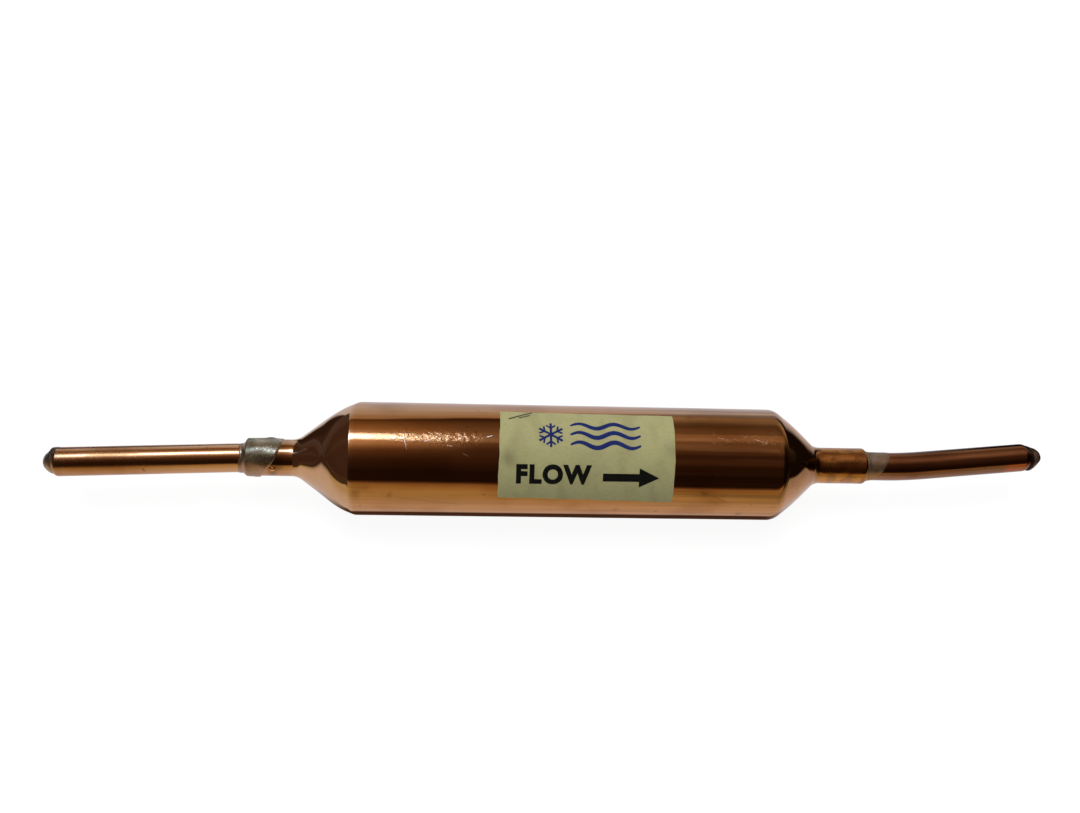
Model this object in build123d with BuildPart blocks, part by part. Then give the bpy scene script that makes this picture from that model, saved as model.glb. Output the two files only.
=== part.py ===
"""Filter drier for a small refrigeration circuit.

A one-piece spun copper shell with a neck at each end holds a charge of desiccant beads between
two strainers. A 1/4 inch copper tube is soldered into each neck, and each tube's cut end is
closed by a dome of solder. The shell lies on its side, with +X the way that the refrigerant
flows, +Z up, and the floor at z = 0 under the barrel.
"""

import os
from math import cos, radians, sin

from build123d import *

# shell: one spun copper piece, lengths along the flow from the mouth of the inlet neck
shell_od = 25.0
shell_wall = 0.65
neck_od = 8.1
inlet_mouth_x = -68.3
inlet_neck_length = 10.8
inlet_cone_length = 13.4
barrel_length = 92.4
outlet_cone_length = 9.8
outlet_neck_length = 12.1
inlet_knee = (4.3, 1.7)  # where the inlet cone eases, back from its crease and in from the barrel
outlet_knee = (4.8, 3.7)  # where the outlet cone steepens, on from its crease and in from the barrel
inlet_neck_round = 4.0
inlet_crease_round = 1.5
outlet_crease_round = 3.9
outlet_neck_round = 3.5
mouth_chamfer = 0.6

# tubes: both of one size, with the cut end rolled in by the cutter wheel
tube_od = 6.35
tube_wall = 0.7
tube_insertion = 6.5
rolled_length = 1.4
rolled_depth = 0.62

# each tube stands straight in its neck and has one bend outside it: the inlet tube's is slight
# and right at the mouth, towards -Y, and the outlet tube's is wide, towards +Y
inlet_bend = 2.8
inlet_bend_x = -71.0
inlet_bend_radius = 30.0
inlet_rim_x = -110.0
outlet_bend = 5.7
outlet_bend_x = 79.0
outlet_bend_radius = 85.0
outlet_rim_x = 108.7

# solder at the joints: each run of solder ends at a plane that slants across the joint, reaching
# further along on the upper far side
upper_far_side = 155.0  # degrees up round the centre line from the near side
solder_depth = 2.0  # how far it fills the gap between tube and neck
bead_thickness = 0.3
bead_end_x = -62.5
bead_slant = 31.0
bead_lean = 0.08
lip_end_x = -70.2
lip_thickness = 0.12
ramp_length = 0.9
film_thickness = 0.12
film_fillet_length = 1.3
film_end_x = 73.4
film_slant = 33.0
drop_radius = 0.6
drop_x = -62.5
drop_place = 28.0  # degrees, as for the solder's slant

# solder domes on the tubes' cut ends
inlet_dome_height = 1.9
outlet_dome_height = 3.2
dome_radius = 2.5

# strainers: a dished ring seated where the barrel begins to close, with a woven disc in it
ring_length = 4.0
ring_thickness = 0.5
ring_opening = 9.2
gauze_thickness = 0.4
gauze_woven_radius = 9.0
inlet_gauze_pitch = 4.4
inlet_gauze_gap = 3.2
outlet_gauze_pitch = 3.6
outlet_gauze_gap = 2.2

# paper label, wrapped round the barrel from its near side up over the top
label_start_x = -13.6
label_end_x = 24.1
label_thickness = 0.08
label_low_edge = 24.5  # degrees, as for the solder's slant
label_wrap = 96.5

charge_clearance = 0.05

shell_r = shell_od / 2
bore_r = shell_r - shell_wall
neck_r = neck_od / 2
tube_r = tube_od / 2
tube_bore_r = tube_r - tube_wall
inlet_cone_x = inlet_mouth_x + inlet_neck_length
inlet_crease_x = inlet_cone_x + inlet_cone_length
outlet_crease_x = inlet_crease_x + barrel_length
outlet_cone_x = outlet_crease_x + outlet_cone_length
outlet_mouth_x = outlet_cone_x + outlet_neck_length

# the shell's centre line, and the upright plane through it: local x along it, local y outwards
shell_plane = Plane(origin=(0, 0, shell_r), x_dir=(1, 0, 0), z_dir=(0, -1, 0))
shell_axis = Axis((0, 0, shell_r), (1, 0, 0))


def beyond_bend(bend_x, way, side, degrees):
    """Upright plane along a tube's last run: it starts at the bend's corner, with local x outwards."""
    along = cos(radians(degrees))
    across = sin(radians(degrees))
    return Plane(
        origin=(bend_x, 0, shell_r),
        x_dir=(way * along, side * across, 0),
        z_dir=(side * across, -way * along, 0),
    )


inlet_plane = beyond_bend(inlet_bend_x, -1, -1, inlet_bend)
outlet_plane = beyond_bend(outlet_bend_x, 1, 1, outlet_bend)
inlet_reach = (inlet_bend_x - inlet_rim_x) / cos(radians(inlet_bend))
outlet_reach = (outlet_rim_x - outlet_bend_x) / cos(radians(outlet_bend))


def write(piece, name):
    """Label a finished piece and write it under that name."""
    piece.part.label = name
    export_step(piece.part, f"parts/{name}.step")


def rolled_end(rim):
    """Outline of a tube's wall over its rolled-in end, in the tube's plane, as a closed loop."""
    with BuildLine() as outline:
        Polyline(
            (rim - rolled_length, tube_r),
            (rim, tube_r - rolled_depth),
            (rim, tube_bore_r - rolled_depth),
            (rim - rolled_length, tube_bore_r),
            close=True,
        )
    return outline.line


def dome(rim, height):
    """Outline of half a seal: a plug that fills the rolled-in end and a round dome over the rim."""
    with BuildLine() as outline:
        plug = Polyline(
            (rim - rolled_length, 0),
            (rim - rolled_length, tube_bore_r),
            (rim, tube_bore_r - rolled_depth),
            (rim, dome_radius),
        )
        cap = RadiusArc(plug @ 1, (rim + height, 0), (dome_radius**2 + height**2) / (2 * height))
        Line(cap @ 1, plug @ 0)
    return outline.line


def outward(degrees):
    """Direction out from the centre line, in degrees up round it from the near side."""
    return Vector(0, -cos(radians(degrees)), sin(radians(degrees)))


def slanted(x, slant, side):
    """Plane across the centre line at x, tipped to lie further on along it at the given side."""
    return Plane(
        origin=(x, 0, shell_r),
        z_dir=Vector(cos(radians(slant)), 0, 0) - side * sin(radians(slant)),
    )


os.makedirs("parts", exist_ok=True)

# ---- shell: a turned blank with the outside's rounds, then the plainer inside cut out of it ----
with BuildPart() as shell:
    with BuildSketch(shell_plane):
        with BuildLine():
            outside = FilletPolyline(
                (inlet_mouth_x, neck_r - mouth_chamfer),
                (inlet_mouth_x + mouth_chamfer, neck_r),
                (inlet_cone_x, neck_r),
                (inlet_crease_x - inlet_knee[0], shell_r - inlet_knee[1]),
                (inlet_crease_x, shell_r),
                (outlet_crease_x, shell_r),
                (outlet_crease_x + outlet_knee[0], shell_r - outlet_knee[1]),
                (outlet_cone_x, neck_r),
                (outlet_mouth_x - mouth_chamfer, neck_r),
                (outlet_mouth_x, neck_r - mouth_chamfer),
                radius=(
                    0,
                    inlet_neck_round,
                    0,
                    inlet_crease_round,
                    outlet_crease_round,
                    0,
                    outlet_neck_round,
                    0,
                ),
            )
            Polyline(outside @ 1, (outlet_mouth_x, 0), (inlet_mouth_x, 0), outside @ 0)
        make_face()
    revolve(axis=shell_axis)
    with BuildSketch(shell_plane):
        with BuildLine():
            inside = Polyline(
                (inlet_mouth_x, neck_r - shell_wall),
                (inlet_cone_x, neck_r - shell_wall),
                (inlet_crease_x, bore_r),
                (outlet_crease_x, bore_r),
                (outlet_cone_x, neck_r - shell_wall),
                (outlet_mouth_x, neck_r - shell_wall),
            )
            Polyline(inside @ 1, (outlet_mouth_x, 0), (inlet_mouth_x, 0), inside @ 0)
        make_face()
    revolve(axis=shell_axis, mode=Mode.SUBTRACT)
write(shell, "shell")

# ---- tubes: a ring swept along each route, then turned for the rolled-in end ----
tubes = {}
runs = (
    ("inlet_tube", inlet_mouth_x + tube_insertion, inlet_plane, inlet_reach, inlet_bend_radius),
    ("outlet_tube", outlet_mouth_x - tube_insertion, outlet_plane, outlet_reach, outlet_bend_radius),
)
for name, inner_x, tube_plane, reach, bend_radius in runs:
    with BuildPart() as tube:
        with BuildLine() as route:
            FilletPolyline(
                (inner_x, 0, shell_r),
                tube_plane.origin,
                tube_plane.origin + tube_plane.x_dir * (reach - rolled_length),
                radius=bend_radius,
            )
        with BuildSketch(Plane(origin=route.line @ 0, z_dir=route.line % 0)):
            Circle(tube_r)
            Circle(tube_bore_r, mode=Mode.SUBTRACT)
        sweep(path=route.line)
        with BuildSketch(tube_plane):
            with BuildLine():
                add(rolled_end(reach))
            make_face()
        revolve(axis=Axis(tube_plane.origin, tube_plane.x_dir))
    write(tube, name)
    tubes[name] = tube.part

# ---- solder at the inlet: a bead over the neck, with a thin lip that runs out along the tube ----
with BuildPart() as inlet_solder:
    bead_plane = Plane(
        origin=shell_plane.origin + outward(upper_far_side) * bead_lean,
        x_dir=(1, 0, 0),
        z_dir=(0, -1, 0),
    )
    with BuildSketch(bead_plane):
        with BuildLine():
            inner_r = tube_r - tube_wall / 2  # within the tube's wall, which is cut out below
            mid_neck_r = neck_r - shell_wall / 2
            end = bead_end_x + neck_r
            ramp = Polyline(
                (end, mid_neck_r),
                (inlet_mouth_x + solder_depth, mid_neck_r),
                (inlet_mouth_x + solder_depth, inner_r),
                (lip_end_x, inner_r),
                (lip_end_x, tube_r + lip_thickness),
                (inlet_mouth_x - ramp_length, tube_r + lip_thickness),
                (inlet_mouth_x, neck_r + bead_thickness),
            )
            Polyline(ramp @ 1, (end, neck_r + bead_thickness), ramp @ 0)
        make_face()
    revolve(axis=Axis(bead_plane.origin, (1, 0, 0)))
    split(bisect_by=slanted(bead_end_x, bead_slant, outward(upper_far_side)), keep=Keep.BOTTOM)
    add(shell.part, mode=Mode.SUBTRACT)
    add(tubes["inlet_tube"], mode=Mode.SUBTRACT)
write(inlet_solder, "inlet_solder")

with BuildPart() as inlet_solder_drop:
    with Locations(shell_plane.origin + Vector(drop_x, 0, 0) + outward(drop_place) * neck_r):
        Sphere(drop_radius)
    add(shell.part, mode=Mode.SUBTRACT)
write(inlet_solder_drop, "inlet_solder_drop")

# ---- solder at the outlet: it fills the gap, rises in a fillet at the mouth and thins to a film ----
with BuildPart() as outlet_solder:
    with BuildSketch(shell_plane):
        with BuildLine():
            film_r = tube_r + film_thickness
            end = film_end_x + tube_r
            gap = Polyline(
                (end, film_r),
                (end, tube_r - tube_wall / 2),
                (outlet_mouth_x - solder_depth, tube_r - tube_wall / 2),
                (outlet_mouth_x - solder_depth, neck_r - mouth_chamfer),
                (outlet_mouth_x, neck_r - mouth_chamfer),
            )
            Polyline(gap @ 1, (outlet_mouth_x + film_fillet_length, film_r), gap @ 0)
        make_face()
    revolve(axis=shell_axis)
    split(bisect_by=slanted(film_end_x, film_slant, outward(upper_far_side)), keep=Keep.BOTTOM)
    add(shell.part, mode=Mode.SUBTRACT)
    add(tubes["outlet_tube"], mode=Mode.SUBTRACT)
write(outlet_solder, "outlet_solder")

# ---- seals: a plug of solder in each tube's end and a dome over its rim ----
seals = (
    ("inlet_seal", inlet_plane, inlet_reach, inlet_dome_height),
    ("outlet_seal", outlet_plane, outlet_reach, outlet_dome_height),
)
for name, tube_plane, reach, height in seals:
    with BuildPart() as seal:
        with BuildSketch(tube_plane):
            with BuildLine():
                add(dome(reach, height))
            make_face()
        revolve(axis=Axis(tube_plane.origin, tube_plane.x_dir))
    write(seal, name)

# ---- strainers: each ring's back rests where the wall turns in, and its gauze lies on that back ----
for name, seat_x, way in (("inlet_ring", inlet_crease_x, 1), ("outlet_ring", outlet_crease_x, -1)):
    with BuildPart() as ring:
        with BuildSketch(shell_plane):
            with BuildLine():
                Polyline(
                    (seat_x, ring_opening),
                    (seat_x, bore_r),
                    (seat_x + way * ring_length, bore_r),
                    (seat_x + way * ring_length, bore_r - ring_thickness),
                    (seat_x + way * ring_thickness, bore_r - ring_thickness),
                    (seat_x + way * ring_thickness, ring_opening),
                    close=True,
                )
            make_face()
        revolve(axis=shell_axis)
    write(ring, name)

gauzes = (
    ("inlet_gauze", inlet_crease_x + ring_thickness, inlet_gauze_pitch, inlet_gauze_gap),
    (
        "outlet_gauze",
        outlet_crease_x - ring_thickness - gauze_thickness,
        outlet_gauze_pitch,
        outlet_gauze_gap,
    ),
)
for name, face_x, pitch, gap in gauzes:
    rows = 2 * int(gauze_woven_radius / pitch) + 1
    grid = GridLocations(pitch, pitch, rows, rows).local_locations
    with BuildPart() as gauze:
        with BuildSketch(Plane(origin=(face_x, 0, shell_r), z_dir=(1, 0, 0))):
            Circle(bore_r - ring_thickness)
            with Locations(*[spot for spot in grid if spot.position.length < gauze_woven_radius]):
                Rectangle(gap, gap, mode=Mode.SUBTRACT)
        extrude(amount=gauze_thickness)
    write(gauze, name)

# ---- desiccant: the charge of beads, from gauze to gauze, narrower inside the rings' rims ----
with BuildPart() as desiccant:
    with BuildSketch(shell_plane):
        with BuildLine():
            low_x = inlet_crease_x + ring_thickness + gauze_thickness
            high_x = outlet_crease_x - ring_thickness - gauze_thickness
            wide_from_x = inlet_crease_x + ring_length + charge_clearance
            wide_to_x = outlet_crease_x - ring_length - charge_clearance
            full_r = bore_r - charge_clearance
            Polyline(
                (low_x, 0),
                (low_x, full_r - ring_thickness),
                (wide_from_x, full_r - ring_thickness),
                (wide_from_x, full_r),
                (wide_to_x, full_r),
                (wide_to_x, full_r - ring_thickness),
                (high_x, full_r - ring_thickness),
                (high_x, 0),
                close=True,
            )
        make_face()
    revolve(axis=shell_axis)
write(desiccant, "desiccant")

# ---- label: one sheet that follows the barrel ----
with BuildPart() as label:
    edge = outward(label_low_edge)
    with BuildSketch(Plane(shell_plane.origin, x_dir=(1, 0, 0), z_dir=Vector(1, 0, 0).cross(edge))):
        with BuildLine():
            Polyline(
                (label_start_x, shell_r),
                (label_end_x, shell_r),
                (label_end_x, shell_r + label_thickness),
                (label_start_x, shell_r + label_thickness),
                close=True,
            )
        make_face()
    revolve(axis=Axis(shell_plane.origin, (-1, 0, 0)), revolution_arc=label_wrap)
write(label, "label")
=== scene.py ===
"""Filter drier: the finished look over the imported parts.

Copper skins, solder, sealed tube ends, the paper label and its print are laid over the frame's
nodes. Sizes are in millimetres until a mesh is made, and then in metres. The shell's centre line
runs along +X at a height of 12.5 mm. Angles round it count up from the near side (-Y), so 90 is
the top.
"""

import logging
from dataclasses import dataclass
from enum import Enum
from functools import cached_property
from math import cos, pi, radians, sin, tan
from typing import Sequence

import bmesh
import bpy
import numpy as np
from mathutils import Matrix


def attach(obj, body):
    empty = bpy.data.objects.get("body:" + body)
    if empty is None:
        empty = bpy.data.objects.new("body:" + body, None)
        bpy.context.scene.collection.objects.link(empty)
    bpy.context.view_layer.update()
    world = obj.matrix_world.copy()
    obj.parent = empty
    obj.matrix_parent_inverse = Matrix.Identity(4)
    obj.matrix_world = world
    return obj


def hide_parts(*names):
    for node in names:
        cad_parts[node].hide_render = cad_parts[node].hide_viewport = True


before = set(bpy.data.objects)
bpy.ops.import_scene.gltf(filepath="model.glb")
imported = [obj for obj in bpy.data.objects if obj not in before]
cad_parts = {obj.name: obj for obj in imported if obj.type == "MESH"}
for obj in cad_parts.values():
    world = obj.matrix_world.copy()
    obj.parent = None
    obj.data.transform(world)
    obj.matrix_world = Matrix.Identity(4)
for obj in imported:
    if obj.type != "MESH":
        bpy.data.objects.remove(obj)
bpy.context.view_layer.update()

log = logging.getLogger("filter_drier")

MM = 0.001
BARREL_RADIUS = 12.5
AXIS_HEIGHT = BARREL_RADIUS
ROOT = "root"
FLOOR_GAP = -0.00002

Colour = tuple[float, float, float]
Masks = dict[str, np.ndarray]
Socket = bpy.types.NodeSocket

WHITE: Colour = (1.0, 1.0, 1.0)
BLACK: Colour = (0.0, 0.0, 0.0)


class Close(Enum):
    """How the first and last loop of a grid are finished."""

    JOINED = "the last loop meets the first"
    CAPPED = "each end is closed at its middle"


class Way(Enum):
    """Which way a tube leaves the shell."""

    INLET = -1
    OUTLET = 1


# ---------------------------------------------------------------- shapes worked out as arrays


def rounded_line(points: Sequence[tuple[float, float]], rounds: Sequence[float]) -> np.ndarray:
    """A flat line with arcs at its corners.

    Each arc touches both sides of its corner: it starts radius times tan(half the turn) before
    the corner, and its points lie evenly by angle round a centre on the inner side.

    Args:
        points: Corners and both ends.
        rounds: Radius at each inner corner, 0 for a sharp one.

    Returns:
        Points of the line, one row each.
    """
    corners = np.asarray(points, dtype=float)
    pieces = [corners[:1]]
    for before, here, after, radius in zip(corners[:-2], corners[1:-1], corners[2:], rounds):
        arriving = (here - before) / np.linalg.norm(here - before)
        leaving = (after - here) / np.linalg.norm(after - here)
        turn = np.arctan2(arriving[0] * leaving[1] - arriving[1] * leaving[0], arriving @ leaving)
        if radius == 0 or abs(turn) < 1e-6:
            pieces.append(here[None, :])
            continue
        side = np.sign(turn)
        start = here - arriving * radius * tan(abs(turn) / 2)
        centre = start + radius * side * np.array([-arriving[1], arriving[0]])
        swept = np.linspace(0.0, turn, 13)[:, None]
        spoke = start - centre
        across = np.array([-spoke[1], spoke[0]])
        pieces.append(centre + np.cos(swept) * spoke + np.sin(swept) * across)
    pieces.append(corners[-1:])
    return np.concatenate(pieces)


def densified(line: np.ndarray, spacing: float) -> np.ndarray:
    """The same line with more points on its long stretches.

    Args:
        line: Points, one row each.
        spacing: Longest gap wanted, in the line's units.

    Returns:
        Old points and the new ones between them, in order.
    """
    run = np.concatenate(([0.0], np.cumsum(np.linalg.norm(np.diff(line, axis=0), axis=1))))
    stations = np.union1d(run, np.arange(0.0, run[-1], spacing))
    stations = stations[np.concatenate(([True], np.diff(stations) > 1e-3))]
    return np.column_stack([np.interp(stations, run, column) for column in line.T])


def lumps(x: np.ndarray, turn: np.ndarray, seed: int, length: float, count: int = 14) -> np.ndarray:
    """Smooth unevenness over a round surface, between about -1 and 1.

    A sum of sine waves, each with its own wave number along x, a whole wave number round the
    axis, so that it closes, and its own start.

    Args:
        x: Places along the axis, in mm.
        turn: Angles round it, in radians.
        seed: Starting number of the random choice.
        length: Shortest wavelength along x, in mm.
        count: Number of waves.

    Returns:
        Unevenness, in the shape that x and turn broadcast to.
    """
    chance = np.random.default_rng(seed)
    along = chance.uniform(0.15, 1.0, count) * 2 * np.pi / length
    around = chance.integers(-6, 7, count)
    start = chance.uniform(0.0, 2 * np.pi, count)
    size = chance.uniform(0.4, 1.0, count)
    waves = np.sin(along * x[..., None] + around * turn[..., None] + start)
    return (waves * size).sum(axis=-1) / (0.7 * np.sqrt(count) * 1.4)


def smooth_step(value: np.ndarray, low: float, high: float) -> np.ndarray:
    """Rises from 0 at low to 1 at high with level ends: t squared times (3 - 2 t)."""
    t = np.clip((value - low) / (high - low), 0.0, 1.0)
    return t * t * (3.0 - 2.0 * t)


@dataclass(frozen=True)
class Spot:
    """A soft round spot on a round surface: along the axis in mm, round it in degrees.

    It has faded to about a third of its depth at the distance size.
    """

    x: float
    angle: float
    size: float
    depth: float

    def over(self, x: np.ndarray, turn: np.ndarray, radius: float = BARREL_RADIUS) -> np.ndarray:
        """Works out depth * e to the power of minus (distance / size) squared.

        Args:
            x: Places along the axis, in mm.
            turn: Angles round it, in radians.
            radius: Radius of the surface, which turns angles into lengths.

        Returns:
            The depth in the middle, falling to 0.
        """
        apart = np.angle(np.exp(1j * (turn - radians(self.angle)))) * radius
        return self.depth * np.exp(-((x - self.x) ** 2 + apart**2) / self.size**2)


def around(
    centre: np.ndarray, radius: np.ndarray, turn: np.ndarray, lean: np.ndarray | float = 0.0
) -> np.ndarray:
    """Points at a radius round a line that lies flat.

    point = centre + radius * (-cos(turn) * side + sin(turn) * up), where side is +Y turned with
    the line's own direction in the XY plane, and up is +Z.

    Args:
        centre: Points on the line, with a last axis of x, y, z.
        radius: Distance from it.
        turn: Angle up from the near side, in radians.
        lean: Direction of the line in the XY plane, in radians from +X.

    Returns:
        Points with a last axis of x, y, z.
    """
    side = -np.cos(turn) * radius
    up = np.sin(turn) * radius
    return np.stack(
        np.broadcast_arrays(
            centre[..., 0] - np.sin(lean) * side,
            centre[..., 1] + np.cos(lean) * side,
            centre[..., 2] + up,
        ),
        axis=-1,
    )


def turns(count: int) -> np.ndarray:
    """Even angles round a circle, in radians, without the last that meets the first."""
    return np.arange(count) * 2 * np.pi / count


# ---------------------------------------------------------------- meshes


def link(mesh: bpy.types.Mesh) -> bpy.types.Object:
    """Puts a mesh in the scene as an object of the same name, and reports it."""
    piece = bpy.data.objects.new(mesh.name, mesh)
    bpy.context.scene.collection.objects.link(piece)
    log.info("%s: %d points, %d faces", mesh.name, len(mesh.vertices), len(mesh.polygons))
    return piece


def make_mesh(
    name: str,
    points: np.ndarray,
    quads: np.ndarray,
    corners: np.ndarray | None = None,
    masks: Masks | None = None,
    crease: float = 40.0,
) -> bpy.types.Object:
    """A closed mesh with its faces turned outwards.

    The enclosed volume is a sixth of the sum of a . (b x c) over the triangles; if it comes out
    negative, every face is reversed.

    Args:
        name: Name of the piece.
        points: Vertices in mm, one row each.
        quads: Four-cornered faces.
        corners: Three-cornered faces.
        masks: Values for each vertex, kept as attributes that the finishes can read.
        crease: Edges that turn by more degrees than this stay sharp.

    Returns:
        The new object.
    """
    corners = np.zeros((0, 3), dtype=int) if corners is None else corners
    triangles = np.concatenate((quads[:, [0, 1, 2]], quads[:, [0, 2, 3]], corners))
    a, b, c = points[triangles[:, 0]], points[triangles[:, 1]], points[triangles[:, 2]]
    if np.einsum("ij,ij->i", a, np.cross(b, c)).sum() < 0:
        quads, corners = quads[:, ::-1], corners[:, ::-1]
    mesh = bpy.data.meshes.new(name)
    mesh.from_pydata((points * MM).tolist(), [], quads.tolist() + corners.tolist())
    for mask, values in (masks or {}).items():
        layer = mesh.attributes.new(mask, "FLOAT", "POINT")
        layer.data.foreach_set("value", np.ascontiguousarray(values, dtype=np.float32).ravel())
    mesh.polygons.foreach_set("use_smooth", np.ones(len(mesh.polygons), dtype=bool))
    mesh.set_sharp_from_angle(angle=radians(crease))
    mesh.update()
    return link(mesh)


def loop_faces(rows: int, columns: int, joined: bool) -> np.ndarray:
    """Faces between neighbouring loops of a grid whose columns close round.

    Args:
        rows: Number of loops.
        columns: Points in each.
        joined: Whether the last loop meets the first.

    Returns:
        Vertex numbers, four to a face.
    """
    row = np.arange(rows if joined else rows - 1)[:, None]
    column = np.arange(columns)[None, :]
    next_row = (row + 1) % rows
    next_column = (column + 1) % columns
    faces = np.broadcast_arrays(
        row * columns + column,
        next_row * columns + column,
        next_row * columns + next_column,
        row * columns + next_column,
    )
    return np.stack(faces, axis=-1).reshape(-1, 4)


def loops_to_piece(
    name: str, grid: np.ndarray, close: Close, masks: Masks | None = None, crease: float = 40.0
) -> bpy.types.Object:
    """A closed skin from loops of points.

    Args:
        name: Name of the piece.
        grid: Loops by points by x, y, z, in mm.
        close: How the first and last loop are finished.
        masks: Values for each point of the grid.
        crease: Edges that turn by more degrees than this stay sharp.

    Returns:
        The new object.
    """
    rows, columns = grid.shape[:2]
    points = grid.reshape(-1, 3)
    quads = loop_faces(rows, columns, close is Close.JOINED)
    if close is Close.JOINED:
        return make_mesh(name, points, quads, masks=masks, crease=crease)
    middles = np.stack((grid[0].mean(axis=0), grid[-1].mean(axis=0)))
    first = np.arange(columns)
    second = (first + 1) % columns
    low, high = rows * columns, rows * columns + 1
    last = (rows - 1) * columns
    fans = np.concatenate(
        (
            np.column_stack((np.full(columns, low), first, second)),
            np.column_stack((np.full(columns, high), last + second, last + first)),
        )
    )
    flat = {
        mask: np.append(values.ravel(), (values[0].mean(), values[-1].mean()))
        for mask, values in (masks or {}).items()
    }
    return make_mesh(name, np.concatenate((points, middles)), quads, fans, flat, crease)


def sheet_to_piece(
    name: str, top: np.ndarray, bottom: np.ndarray, masks: Masks | None = None
) -> bpy.types.Object:
    """A thin closed sheet from its two faces.

    Args:
        name: Name of the piece.
        top: Rows by columns by x, y, z, in mm.
        bottom: The same places on the underside.
        masks: Values for each point of the top, used for both faces.

    Returns:
        The new object.
    """
    rows, columns = top.shape[:2]
    number = np.arange(rows * columns).reshape(rows, columns)
    upper = np.stack((number[:-1, :-1], number[1:, :-1], number[1:, 1:], number[:-1, 1:]), axis=-1)
    upper = upper.reshape(-1, 4)
    lower = upper[:, ::-1] + rows * columns
    rim = np.concatenate((number[0, :], number[1:, -1], number[-1, -2::-1], number[-2:0:-1, 0]))
    following = np.roll(rim, -1)
    wall = np.column_stack((rim, following, following + rows * columns, rim + rows * columns))
    points = np.concatenate((top.reshape(-1, 3), bottom.reshape(-1, 3)))
    both = {mask: np.tile(values.ravel(), 2) for mask, values in (masks or {}).items()}
    return make_mesh(name, points, np.concatenate((upper, lower, wall)), masks=both)

# ---------------------------------------------------------------- finishes


@dataclass(frozen=True)
class Scratch:
    """A thin straight mark between two places on the barrel: along the axis in mm, round it in degrees."""

    x: float
    angle: float
    to_x: float
    to_angle: float
    width: float
    strength: float


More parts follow.
